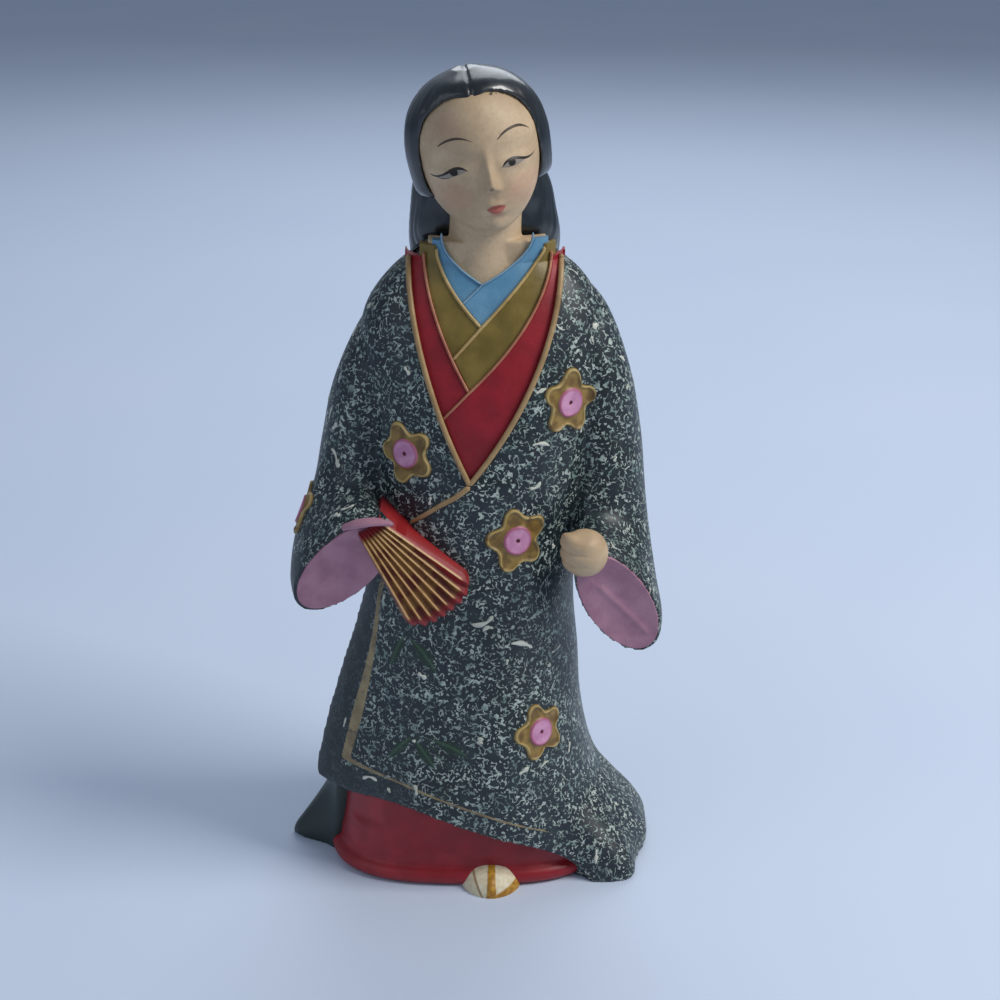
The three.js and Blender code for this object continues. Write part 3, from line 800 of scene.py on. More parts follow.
RIGHT_SLEEVE = Sleeve(
    at=((-15, 3, 175), (-23.5, 2, 161.5), (-30.5, 1.5, 147.5), (-33.6, 0, 133), (-35.5, -6, 120),
        (-39.5, -15, 109), (-38.6, -25, 106), (-36.6, -32, 104.6)),
    up=((0, -9, 0), (0, -13, 0), (0, -14.5, 1), (1, -14.5, 3), (3, -10, 8), (8, -4, 13.5),
        (12, -3.4, 14.4), (13.4, -2.6, 14)),
    out=((-8, 0, 4.5), (-9.6, 0, 5), (-10.4, 0, 2), (-11, 0, 0.5), (-11.2, 0, 2), (-10.4, 1, 4),
         (-8.4, 0.5, 5.6), (-6.8, 0, 5.6)),
)
LEFT_SLEEVE = Sleeve(
    at=((19, 3, 178), (27.5, 2, 166.5), (33.8, 1.5, 151), (37, 0, 134), (38.5, -5, 117),
        (40.5, -14, 99), (41, -24, 94), (40.6, -30, 92.4)),
    up=((0, -9, 0), (0, -13, 0), (0, -14.5, 1), (-1, -14.5, 2), (-2, -11, 9), (-6, -5, 16),
        (-9, -4.4, 17), (-9.4, -4.4, 17)),
    out=((8, 0, 4.5), (9.8, 0, 5), (10.6, 0, 2), (11, 0, 0), (11, 0, -1), (10.4, 1, 2),
         (9.4, 0.5, 3.4), (8.6, 0.5, 4)),
)


# Marks along a path


@dataclass(frozen=True)
class Stroke:
    """A painted stroke placed by pixels of the photograph, with its half-width in millimetres."""

    pixels: tuple
    half_widths: tuple


class Robe:
    """The robe: body, front panel, sleeves and train fused to one skin, with its painted marks."""

    VOXEL = 0.92
    BORDER = Stroke(((385, 572), (379, 597), (370, 660), (358, 710), (347, 752)),
                    (0.8, 0.9, 1.3, 1.9, 1.6))
    HEM_LINE = Stroke(((345, 757), (370, 770), (400, 783), (450, 804), (500, 821), (545, 831)),
                      (0.8, 0.45, 0.4, 0.36, 0.34, 0.2))
    LEAVES = (
        Stroke(((391, 665), (397, 650), (404, 636)), (0.4, 1.5, 0.3)),
        Stroke(((411, 640), (423, 654), (436, 673)), (0.4, 1.9, 0.3)),
        Stroke(((390, 757), (399, 748), (411, 738)), (0.4, 1.7, 0.3)),
        Stroke(((416, 743), (424, 754), (433, 767)), (0.4, 2.0, 0.4)),
        Stroke(((436, 742), (450, 748), (465, 756)), (0.4, 1.9, 0.3)),
    )
    # Long soft creases pressed into the cloth: two ends, half-width and depth (minus for a ridge).
    CREASES = (
        ((-26, -22, 172), (-24, -25, 118), 2.6, 1.2),
        ((27, -16, 152), (24, -27, 112), 2.4, 1.1),
        ((-40, -14, 150), (-45, -16, 118), 3.0, 0.8),
        ((44, -14, 150), (47, -18, 112), 3.0, 0.7),
        ((33, -15, 143), (47, -12, 132), 2.4, 0.6),
        ((18, -30, 30), (33, -31, 4), 3.0, 0.9),
        ((-8, -34, 88), (14, -32, 84), 3.0, 0.4),
        ((0, 30, 60), (-3, 22, 110), 3.5, 0.6),
        ((20, 22, 62), (14, 19, 112), 3.5, 0.6),
        ((-22, 20, 62), (-16, 19, 112), 3.5, 0.6),
    )

    def __init__(self) -> None:
        """Shapes the skin and keeps it as the ground for everything laid on it."""
        shell = fused([self._body(), PANEL.build(), RIGHT_SLEEVE.build(), LEFT_SLEEVE.build()],
                      self.VOXEL, rounding=2, evening=3)
        self._press(shell)
        self.ground = Ground(shell)

    @staticmethod
    def _body() -> Shell:
        """Rings of the gown, which step back behind the under-skirt below the panel's hem."""
        start, end, row_step, in_skirt = 196.5, 318.0, 9.0, 5.0
        z, angle = mesh_grid(np.linspace(0, 190, 230), np.arange(0, 360, 1.0))
        radius = GOWN.radius(angle, z)
        hidden = (angle > start) & (angle < end) & (z < PANEL.hem(angle) + row_step)
        behind = np.minimum(radius, SKIRT.radius(angle, np.zeros_like(z)) - in_skirt)
        return ring_shell(polar(angle, np.where(hidden, behind, radius), z))

    def _press(self, shell: Shell) -> None:
        """Presses the creases in, and sinks the chest inside the neckline for the collars.

        A crease is a bell of the distance to the line between its ends, along the inward normal.
        """
        inwards = -normals_of(shell)
        p = shell.points
        press = np.zeros(len(p))
        for start, end, half_width, depth in self.CREASES:
            a, b = np.array(start, float), np.array(end, float)
            t = np.clip((p - a) @ (b - a) / ((b - a) @ (b - a)), 0, 1)
            distance = np.linalg.norm(p - a - t[:, None] * (b - a), axis=1)
            press += depth * bell(distance, half_width) * np.sin(np.pi * np.clip(t, 0.02, 0.98)) ** 0.5
        p = p + inwards * press[:, None]
        x, z = p[:, 0], p[:, 2]
        inside = np.minimum(x - ROBE_V.edge(z, False), ROBE_V.edge(z, True) - x)
        inside = np.where((z > ROBE_V.z) & (p[:, 1] < -1), inside, 0)
        p[:, 1] += 5.5 * smooth_step(0.1, 1.3, inside)
        p[:, 2] = np.maximum(p[:, 2], 0)
        shell.points = p

    def path(self, stroke: Stroke) -> tuple[Array, Array]:
        """A stroke's line on the skin and its half-width along it."""
        ends = np.array([self.ground.seen(pixel) for pixel in stroke.pixels])
        line = self.ground.onto(resampled(ends, 1.2))
        share = np.linspace(0, 1, len(line))
        return line, smooth_table(np.linspace(0, 1, len(stroke.half_widths)), stroke.half_widths)(share)

    def stroke_mark(self, strokes: Sequence[Stroke]) -> Array:
        """For each point: the signed distance across the nearest stroke, its half-width there and
        the place along it. The sign is that of (along x outward) . (point - line)."""
        p = self.ground.shell.points
        mark = np.tile([99.0, 0.0, 0.0], (len(p), 1))
        for stroke in strokes:
            line, half = self.path(stroke)
            near = np.flatnonzero(((p > line.min(0) - 8) & (p < line.max(0) + 8)).all(1))
            a, b = line[:-1], line[1:]
            ab = b - a
            delta = p[near][:, None] - a
            t = np.clip((delta * ab).sum(-1) / (ab * ab).sum(-1), 0, 1)
            off = delta - t[..., None] * ab
            distance = np.linalg.norm(off, axis=-1)
            best = distance.argmin(1)
            rows = np.arange(len(near))
            side = np.cross(ab[best], self.ground.normals[near])
            sign = np.sign((side * off[rows, best]).sum(-1))
            along = (best + t[rows, best]) / len(ab)
            across = sign * distance[rows, best]
            width = np.interp(along * (len(line) - 1), np.arange(len(line)), half)
            closer = np.abs(across) - width < np.abs(mark[near, 0]) - mark[near, 1]
            chosen = near[closer]
            mark[chosen] = np.stack([across, width, along], -1)[closer]
        return mark

    def bare_mark(self) -> Array:
        """How bare of flecks each point is: the tail at the right, the border outside the gold
        line, and less so the strip below it."""
        p = self.ground.shell.points
        angle = np.degrees(np.arctan2(p[:, 1], p[:, 0])) % 360
        radius = np.linalg.norm(p[:, :2], axis=1)
        tail = ((np.abs(turn_between(angle, 180)) < 24) & (p[:, 2] < 27) & (radius > 40)).astype(float)
        line, _ = self.path(self.BORDER)
        order = np.argsort(line[:, 2])
        line_x = np.interp(p[:, 2], line[order, 2], line[order, 0])
        border = smooth_step(0, 2.5, line_x - p[:, 0]) * (p[:, 1] < -2) * (p[:, 2] < 104) * (p[:, 2] > 26)
        corner = smooth_step(-17, -24, p[:, 0]) * (p[:, 2] < 36) * (p[:, 1] < -2)
        return np.stack([np.maximum(tail, 0.9 * np.maximum(border, corner)), tail], -1)

    def build(self) -> bpy.types.Object:
        """The finished robe."""
        marks = {"gold_line": self.stroke_mark([self.BORDER, self.HEM_LINE]),
                 "leaf": self.stroke_mark(self.LEAVES), "bare": self.bare_mark()}
        return dress("robe", self.ground.shell, robe_paint(), marks)


def fleck_lines(pot: Pot, place: Tone, size: float, width: float, shift: float) -> Tone:
    """Short wiggly strokes: where one noise is half-way up, cut into pieces by a second noise."""
    line = abs(pot.noise(place, size, detail=1.0, shift=shift, distortion=0.5) - 0.5)
    pieces = pot.noise(place, size * 0.62, detail=0.0, shift=shift + 31)
    return (1 - line.ramp(width * 0.55, width)) * pieces.ramp(0.5, 0.56)


def robe_paint() -> Pot:
    """Dark green-black paint with a satin sheen, pale flecks, a gold line and dark green leaves."""
    pot = Pot("flecked_robe", Specular_IOR_Level=0.5, Coat_Weight=0.18, Coat_Roughness=0.32)
    place = pot.place()
    broad = pot.noise(place, 34, detail=2.0)
    base = pot.mix(broad.ramp(0.35, 0.65), srgb(17, 29, 30), srgb(27, 37, 46))
    base = pot.mix(pot.noise(place, 3.0, detail=4.0, shift=5).ramp(0.45, 0.8), base, srgb(38, 56, 56))
    bare = pot.mark("bare")
    tail = bare.part(1)
    border = bare.part(0)
    base = pot.mix(tail, base, srgb(34, 48, 44))
    fine = fleck_lines(pot, place, 1.9, 0.05, 0.0)
    crossing = fleck_lines(pot, place, 2.3, 0.045, 77.0)
    dots = 1 - pot.node("ShaderNodeTexVoronoi", {}, {"Vector": place, "Scale": 0.42}).ramp(0.10, 0.16)
    crowd = pot.noise(place, 9.0, detail=1.0, shift=12).ramp(0.2, 0.5) * 0.35 + 0.65
    flecks = fine.most(crossing).most(dots) * crowd * (1 - border)
    shade = pot.noise(place, 4.0, detail=2.0, shift=19)
    pale = pot.mix(shade.ramp(0.35, 0.65), srgb(118, 138, 132), srgb(188, 200, 190))
    color = pot.mix(flecks, base, pale)
    leaf = pot.mark("leaf")
    in_leaf = (leaf.part(1) - abs(leaf.part(0))).ramp(-0.1, 0.25)
    leaf_tone = pot.mix((0.5 - abs(leaf.part(0) + 0.3)).ramp(0.0, 0.3), srgb(18, 46, 26), srgb(52, 84, 54))
    color = pot.mix(in_leaf * 0.92, color, leaf_tone)
    gold = pot.mark("gold_line")
    rough_edge = pot.noise(place, 1.6, detail=3.0, shift=3) * 0.5 - 0.25
    in_gold = (gold.part(1) - abs(gold.part(0)) + rough_edge).ramp(-0.1, 0.16)
    worn = pot.noise(place, 2.4, detail=4.0, shift=40).ramp(0.3, 0.46) * 0.6 + 0.4
    gold_tone = pot.mix(pot.noise(place, 5, detail=2.0).ramp(0.3, 0.7), srgb(128, 110, 78), srgb(168, 148, 108))
    color = pot.mix(in_gold * worn, color, gold_tone)
    pot.feed("Base Color", color)
    rough = pot.noise(place, 6.0, detail=4.0, shift=60) * 0.22 + 0.36
    pot.feed("Roughness", rough + flecks * 0.2)
    grain = pot.noise(place, 0.9, detail=3.0, shift=8) * 0.25
    pot.bump(flecks * 0.9 + in_gold * 0.6 + in_leaf * 0.4 + grain, 0.12)
    return pot


# The collars


@dataclass(frozen=True)
class Collar:
    """One collar layer: a band from each shoulder, the left laid over the right.

    outer and inner are the necklines that bound it. lap_slope is the slope of the upper band's
    edge from the inner V's lowest point down to the outer neckline. rise is how far the band runs
    on above the outer neckline.
    """

    name: str
    outer: Neckline
    inner: Neckline
    lap_slope: float
    edging_half: float
    proud: float = 0.45
    thickness: float = 3.2
    rows: int = 150
    columns: int = 44
    rise: float = 3.0

    def lap_edge(self, z: Array) -> Array:
        """x of the upper band's free edge: the inner neckline, then a straight slope down and to
        the right until it meets the outer neckline."""
        slope = self.inner.x - (self.inner.z - z) * self.lap_slope
        free = np.where(z >= self.inner.z, self.inner.edge(z, True), slope)
        return np.maximum(free, self.outer.edge(z, False))

    def _slab(self, z: Array, left_x: Array, right_x: Array, depth: float, round_left: bool) -> Shell:
        """A band between two edges, rounded off towards its free one over 0.7 mm."""
        v = mesh_grid(z, np.linspace(0, 1, self.columns + 1))[1]
        x = left_x[:, None] + v * (right_x - left_x)[:, None]
        gap = x - left_x[:, None] if round_left else right_x[:, None] - x
        rolled = 0.5 * (1 - smooth_step(-0.2, 0.8, gap))
        heights = np.broadcast_to(z[:, None], x.shape)
        return slab_shell(chest(x, heights, depth + rolled), chest(x, heights, depth + self.thickness))

    def build(self) -> Shell:
        """The under band and the upper band."""
        overlap = 1.2
        z = np.linspace(self.outer.z + 0.2, self.outer.top + self.rise, self.rows)
        left_x = self.outer.edge(z, False) - overlap
        inner_x = np.where(z >= self.inner.z, self.inner.edge(z, False), self.inner.x)
        under = self._slab(z, left_x, np.maximum(inner_x, left_x + 0.2), self.outer.depth + self.proud, False)
        right_x = self.outer.edge(z, True) + overlap
        free = np.minimum(self.lap_edge(z), right_x - 0.2)
        upper = self._slab(z, free, right_x, self.outer.depth, True)
        return joined([under, upper])

    def edging(self) -> Shell:
        """The raised line along both free edges."""
        z = np.linspace(self.inner.z, self.inner.top + 1, 90)
        right = chest(self.inner.edge(z, False), z, self.outer.depth + self.proud - 0.1)
        low = np.linspace(self.outer.z, self.inner.z, 200)
        open_part = low[self.lap_edge(low) > self.outer.edge(low, False) + 0.05]
        run = np.concatenate([open_part, np.linspace(self.inner.z, self.inner.top + 1, 90)])
        run = np.unique(run)
        left = chest(self.lap_edge(run), run, self.outer.depth - 0.1)
        facing = np.array([0.0, -1.0, 0.15])
        lines = [cord_shell(resampled(line, 0.5), facing, self.edging_half, 0.5)
                 for line in (right, left)]
        return joined(lines)


COLLARS = (
    Collar("red_collar", ROBE_V, RED_V, 1.0, 0.42, rise=0.4),
    Collar("gold_collar", RED_V, GOLD_V, 0.95, 0.48),
    Collar("blue_collar", GOLD_V, BLUE_V, 1.1, 0.3),
)


def brushed_paint(name: str, dark: Color, light: Color, roughness: float, coat: float = 0.0,
                  grain: float = 0.06) -> Pot:
    """Brushed-on paint: two close tones in soft blots, with a faint grain and uneven gloss."""
    pot = Pot(name, Coat_Weight=coat, Coat_Roughness=0.25)
    place = pot.place()
    blots = pot.noise(place, 7.0, detail=4.0, shift=2).ramp(0.3, 0.7)
    fine = pot.noise(place, 0.8, detail=3.0, shift=9)
    pot.feed("Base Color", pot.mix(blots * 0.8 + fine * 0.2, dark, light))
    pot.feed("Roughness", pot.noise(place, 3.0, detail=3.0, shift=4) * 0.2 + (roughness - 0.1))
    pot.bump(fine, grain)
    return pot


class Collars:
    """The three collar layers, their edging and the robe's own edging."""

    ROBE_EDGE_HALF = 0.78
    LAP_PIXELS = ((470, 487), (455, 498), (440, 506), (425, 515), (410, 523))

    def __init__(self, ground: Ground) -> None:
        """Keeps the robe's skin, which the robe's edging lies on."""
        self.ground = ground

    def _robe_edging(self) -> Shell:
        """Two lines up the V and one down the overlap below it."""
        facing = np.array([0.0, -1.0, 0.15])
        z = np.linspace(ROBE_V.z - 0.3, ROBE_V.top + 0.5, 120)
        sides = [chest(ROBE_V.edge(z, left), z, -0.15) for left in (False, True)]
        lines = [cord_shell(resampled(side, 0.5), facing, self.ROBE_EDGE_HALF, 0.75) for side in sides]
        lap = np.array([self.ground.seen(pixel) for pixel in self.LAP_PIXELS])
        line = self.ground.onto(resampled(lap, 0.6))
        taper = np.linspace(0.85, 0.6, len(line))
        lines.append(cord_shell(line, facing, taper, 0.55))
        return joined(lines)

    def build(self) -> None:
        """Makes every collar piece."""
        paints = {
            "red_collar": brushed_paint("red_paint", srgb(132, 12, 26), srgb(160, 20, 36), 0.5),
            "gold_collar": brushed_paint("olive_gold_paint", srgb(108, 90, 34), srgb(140, 118, 54), 0.42),
            "blue_collar": brushed_paint("light_blue_paint", srgb(84, 138, 170), srgb(112, 160, 190), 0.5),
        }
        tan = srgb(150, 118, 76), srgb(186, 154, 108)
        edges = {
            "red_collar": brushed_paint("rose_tan_line", srgb(164, 92, 72), srgb(190, 130, 96), 0.45),
            "gold_collar": brushed_paint("pale_gold_line", srgb(164, 134, 76), srgb(206, 178, 120), 0.4),
            "blue_collar": brushed_paint("pale_blue_line", srgb(112, 150, 176), srgb(150, 182, 200), 0.5),
        }
        for collar in COLLARS:
            dress(collar.name, collar.build(), paints[collar.name], sharp=40)
            dress(collar.name + "_edging", collar.edging(), edges[collar.name])
        dress("robe_edging", self._robe_edging(), brushed_paint("tan_line", *tan, 0.42))


# The head


@dataclass(frozen=True)
class Head:
    """The head's own frame: x to the figure's left, -y out of the face, z up, tilted on the neck."""

    at: tuple = (1.3, -2.0, 215.6)
    tilt: float = 10.0
    turn: float = 5.0
    nod: float = 3.0

    def matrix(self) -> Array:
        """The turn about Z, then the tilt about Y, then the nod about X."""
        t, y, x = (math.radians(a) for a in (self.turn, -self.tilt, self.nod))
        about_z = np.array([[math.cos(t), -math.sin(t), 0], [math.sin(t), math.cos(t), 0], [0, 0, 1]])
        about_y = np.array([[math.cos(y), 0, math.sin(y)], [0, 1, 0], [-math.sin(y), 0, math.cos(y)]])
        about_x = np.array([[1, 0, 0], [0, math.cos(x), -math.sin(x)], [0, math.sin(x), math.cos(x)]])
        return about_z @ about_y @ about_x

    def outside(self, points: Array) -> Array:
        """From the head's frame to the figure's."""
        return points @ self.matrix().T + np.array(self.at)

    def inside(self, points: Array) -> Array:
        """From the figure's frame to the head's."""
        return (points - np.array(self.at)) @ self.matrix()


HEAD = Head()


class Face:
    """The face and neck: one smooth skin with low features, painted eyes, brows and lips."""

    VOXEL = 0.34
    Z = (-20.6, -18.5, -15, -10, -4, 2, 8, 14, 18.5, 21.3)
    HALF_WIDTH = (3, 7.6, 11.4, 14.4, 16.2, 16.8, 16.3, 13.5, 9.2, 3)
    FRONT = (9.5, 13.6, 15.6, 17, 17.9, 18.1, 17.7, 15.4, 11.4, 4)
    BACK = (2, 6, 10, 14, 16, 17, 17, 15, 11, 4)
    NECK_FROM, NECK_TO = (2.0, 1.0, 172.0), (3.4, 0.0, 206.0)
    NECK_RADII = (12.4, 10.0)
    # Soft bumps: place across, place up, size across, size up, height.
    BUMPS = (
        (-9.2, 3.0, 5.2, 2.8, -0.75), (9.2, 3.0, 5.2, 2.8, -0.75),
        (-9.0, 0.0, 4.6, 1.7, 0.75), (9.2, 0.0, 4.6, 1.7, 0.75),
        (-9.0, -2.9, 4.2, 1.4, -0.25), (9.2, -2.9, 4.2, 1.4, -0.25),
        (-9.0, -7.5, 5.0, 4.6, 0.7), (9.6, -7.5, 5.0, 4.6, 0.7),
        (-0.9, -6.0, 0.9, 0.9, 0.75), (2.7, -6.0, 0.9, 0.9, 0.75),
        (1.0, -11.2, 4.4, 4.0, 0.7),
        (0.2, -10.4, 1.4, 0.75, 0.45), (2.2, -10.4, 1.4, 0.75, 0.45),
        (1.2, -12.5, 2.2, 0.85, 0.6), (1.2, -11.45, 2.6, 0.34, -0.4),
        (1.0, -14.5, 3.0, 0.9, -0.5), (0.9, -17.4, 3.8, 2.2, 0.9),
        (1.1, -8.3, 0.7, 1.0, -0.2),
    )
    NOSE_X = 0.9
    NOSE_Z = (-8.4, -7.2, -6.4, -5.6, -4.6, -3.4, -1.0, 2.0, 5.0, 7.0)
    NOSE_OUT = (0.0, 0.35, 1.5, 2.5, 2.95, 2.6, 1.7, 0.9, 0.3, 0.0)
    NOSE_HALF = (1.8, 1.9, 2.0, 2.0, 1.9, 1.7, 1.45, 1.3, 1.4, 1.6)

    def _egg(self) -> Shell:
        """Rings of the head: an oval with its own front and back depth at each height."""
        z, a = mesh_grid(np.linspace(-20.6, 21.3, 150), np.linspace(-np.pi, np.pi, 220, endpoint=False))
        half, front, back = (smooth_table(self.Z, t)(z) for t in (self.HALF_WIDTH, self.FRONT, self.BACK))
        y = np.where(np.cos(a) > 0, -front, -back) * np.cos(a)
        return ring_shell(HEAD.outside(np.stack([half * np.sin(a), y, z], -1)))

    def _neck(self) -> Shell:
        """A cone from the chest into the head, a little wider at its foot."""
        t, a = mesh_grid(np.linspace(0, 1, 60), np.linspace(0, 2 * np.pi, 120, endpoint=False))
        start, end = np.array(self.NECK_FROM), np.array(self.NECK_TO)
        radius = self.NECK_RADII[0] + (self.NECK_RADII[1] - self.NECK_RADII[0]) * smooth_step(0, 0.7, t)
        middle = start + t[..., None] * (end - start)
        round_it = np.stack([np.cos(a), np.sin(a), np.zeros_like(a)], -1)
        return ring_shell(middle + radius[..., None] * round_it)

    @staticmethod
    def _bosom() -> Shell:
        """The skin that shows in the innermost V."""
        z, u = mesh_grid(np.linspace(177, 192, 40), np.linspace(-0.1, 1.1, 50))
        right, left = BLUE_V.edge(z, False), BLUE_V.edge(z, True)
        x = right - 1.5 + (left - right + 3) * u
        return slab_shell(chest(x, z, BLUE_V.depth + 0.4), chest(x, z, BLUE_V.depth + 7))

    def _carve(self, shell: Shell) -> Array:
        """Pushes the features out of the front and returns the points in the head's frame."""
        p = HEAD.inside(shell.points)
        x, y, z = p.T
        out = sum(h * bell(x - cx, sx) * bell(z - cz, sz) for cx, cz, sx, sz, h in self.BUMPS)
        nose_out, nose_half = smooth_table(self.NOSE_Z, self.NOSE_OUT), smooth_table(self.NOSE_Z, self.NOSE_HALF)
        in_nose = (z > self.NOSE_Z[0]) & (z < self.NOSE_Z[-1])
        out = out + np.where(in_nose, nose_out(z) * bell(x - self.NOSE_X, nose_half(z)), 0)
        front = smooth_step(-2, -9, y) * smooth_step(-24, -20, z)
        carved = p.copy()
        carved[:, 1] -= out * front
        shell.points = HEAD.outside(carved)
        return carved

    def build(self) -> bpy.types.Object:
        """The finished face and neck."""
        shell = fused([self._egg(), self._neck(), self._bosom()], self.VOXEL, rounding=6, evening=3)
        carved = self._carve(shell)
        return dress("face_and_neck", shell, skin_paint(), {"head_place": carved})


@dataclass(frozen=True)
class FaceLine:
    """A painted line across the face: height and half-width at places across, in millimetres."""

    points: tuple
    widths: tuple


# The lines run over both sides of the face, and are nowhere wide between them.
SPAN = 17.0
RISE = (-4.0, 12.0)
BROWS = FaceLine(
    ((-11.2, 7.0), (-10.0, 7.8), (-8.2, 8.6), (-6.0, 8.9), (-4.2, 8.6), (-2.2, 7.7), (0, 7.0), (4.3, 6.9),
     (6.2, 8.0), (8.5, 8.7), (10.8, 8.6), (12.6, 7.7), (13.9, 6.3)),
    ((-11.3, 0.0), (-10.6, 0.22), (-8.8, 0.32), (-6.4, 0.34), (-4.2, 0.22), (-2.2, 0.05), (-1.6, 0.0),
     (4.0, 0.0), (4.9, 0.2), (7.4, 0.36), (10.4, 0.36), (12.6, 0.24), (14.0, 0.0)),
)
LASHES = FaceLine(
    ((-14.4, -0.9), (-13.2, -1.25), (-11.9, -0.9), (-10.3, -0.1), (-8.6, 0.75), (-7.0, 1.05), (-5.7, 0.8),
     (-4.6, 0.2), (0, 0), (4.5, -0.6), (5.3, 0.1), (6.5, 0.7), (7.8, 0.9), (9.2, 0.62), (10.5, 0.1),
     (12.0, -0.4), (13.0, -0.45), (14.5, 0.0)),
    ((-14.6, 0.0), (-13.4, 0.24), (-11.6, 0.3), (-9.6, 0.4), (-7.6, 0.4), (-6.0, 0.3), (-4.8, 0.14),
     (-4.3, 0.0), (4.2, 0.0), (5.2, 0.3), (6.6, 0.36), (9.0, 0.36), (11.4, 0.34), (13.0, 0.22), (14.6, 0.0)),
)
LOWER_LIDS = FaceLine(
    ((-13.0, -1.35), (-11.8, -1.75), (-10.6, -1.7), (-9.2, -1.2), (-8.0, -0.85), (-6.6, -0.5), (-5.2, 0.0),
     (0, 0), (4.5, -0.65), (5.9, -0.9), (7.6, -1.0), (9.2, -0.95), (10.6, -0.75), (12.0, -0.5)),
    ((-12.8, 0.0), (-11.8, 0.16), (-10.2, 0.16), (-8.8, 0.05), (-6.0, 0.0), (4.5, 0.0), (6.4, 0.1),
     (8.6, 0.08), (10.4, 0.0), (12.0, 0.0)),
)
IRISES = ((-8.3, 0.1, 1.15), (7.5, 0.0, 1.1))


def face_line(pot: Pot, line: FaceLine, x: Tone) -> tuple[Tone, Tone]:
    """The height and the half-width of a painted line at x, as curves."""
    across = (x + SPAN) / (2 * SPAN)
    span = RISE[1] - RISE[0]
    points = [((px + SPAN) / (2 * SPAN), (pz - RISE[0]) / span) for px, pz in line.points]
    widths = [((px + SPAN) / (2 * SPAN), w) for px, w in line.widths]
    height = pot.node("ShaderNodeFloatCurve", {"points": points}, {"Value": across}) * span + RISE[0]
    return height, pot.node("ShaderNodeFloatCurve", {"points": widths}, {"Value": across})


def skin_paint() -> Pot:
    """Matte flesh paint with darker blots at random, and painted brows, eyes and lips."""
    pot = Pot("flesh_paint", Specular_IOR_Level=0.45, Subsurface_Weight=0.0)
    place = pot.place()
    head = pot.mark("head_place")
    x, z = head.part(0), head.part(2)
    soft = pot.noise(place, 11, detail=3.0, shift=7)
    flesh = pot.mix(soft.ramp(0.35, 0.65), srgb(190, 163, 130), srgb(208, 182, 148))
    fine = pot.noise(place, 1.2, detail=4.0, shift=3)
    flesh = pot.mix(fine.ramp(0.4, 0.8) * 0.35, flesh, srgb(172, 146, 112))

    def blot(cx: float, cz: float, size_x: float, size_z: float) -> Tone:
        """A round patch that fades out from its middle."""
        reach = ((x - cx) / size_x) ** 2 + ((z - cz) / size_z) ** 2
        return 1 - reach.ramp(0.0, 1.0)

    flesh = pot.mix(blot(-9.5, -7, 7, 6) * 0.25, flesh, srgb(196, 134, 112))
    flesh = pot.mix(blot(10, -8, 7, 6) * 0.3, flesh, srgb(200, 140, 118))
    flesh = pot.mix(blot(-8, 12, 6, 5) * 0.3, flesh, srgb(184, 136, 116))
    edge = 0.05
    lash_z, lash_w = face_line(pot, LASHES, x)
    low_z, low_w = face_line(pot, LOWER_LIDS, x)
    brow_z, brow_w = face_line(pot, BROWS, x)
    in_eye = (lash_z - z).ramp(-edge, edge) * (z - low_z).ramp(-edge, edge) * (lash_w - 0.12).ramp(0, 0.08)
    color = pot.mix(in_eye, flesh, srgb(150, 140, 128))
    for cx, cz, radius in IRISES:
        reach = (((x - cx) ** 2 + (z - cz) ** 2) ** 0.5)
        color = pot.mix((1 - reach.ramp(radius - 0.25, radius + 0.1)) * in_eye, color, srgb(24, 18, 14))
    ink = srgb(34, 24, 16)
    lash = (lash_w - abs(z - lash_z)).ramp(-edge, edge)
    low = (low_w - abs(z - low_z)).ramp(-edge, edge)
    brow = (brow_w - abs(z - brow_z)).ramp(-edge, edge) * (0.75 + fine * 0.4).least(1.0)
    color = pot.mix(low * 0.7, color, ink)
    color = pot.mix(brow * 0.95, color, ink)
    color = pot.mix(lash, color, ink)
    across = x - 1.2
    top_lip = 0.95 - (abs(abs(across) - 0.75) * 0.36) - (across**2) * 0.06
    over = (top_lip - (z + 11.3)).ramp(-0.12, 0.12)
    under = ((z + 11.3) + (1.7 - across**2 * 0.2)).ramp(-0.3, 0.3)
    lips = over * under * (1 - abs(across).ramp(2.4, 3.0))
    color = pot.mix(lips * 0.85, color, srgb(168, 74, 68))
    lower = blot(1.3, -13.3, 2.2, 0.9)
    color = pot.mix(lower * 0.5, color, srgb(186, 118, 100))
    color = pot.mix(blot(0.9, -5.3, 1.1, 0.8) * fine.ramp(0.42, 0.6) * 0.9, color, srgb(96, 84, 70))
    chip = blot(5.3, 17.6, 0.7, 0.5).most(blot(6.9, 17.5, 0.6, 0.5)) * fine.ramp(0.4, 0.5)
    color = pot.mix(chip, color, srgb(84, 70, 60))
    pot.feed("Base Color", color)
    painted = lash.most(brow).most(lips)
    pot.feed("Roughness", 0.52 - painted * 0.12 + fine * 0.1)
    pot.bump(fine + painted * 0.4, 0.05)
    return pot


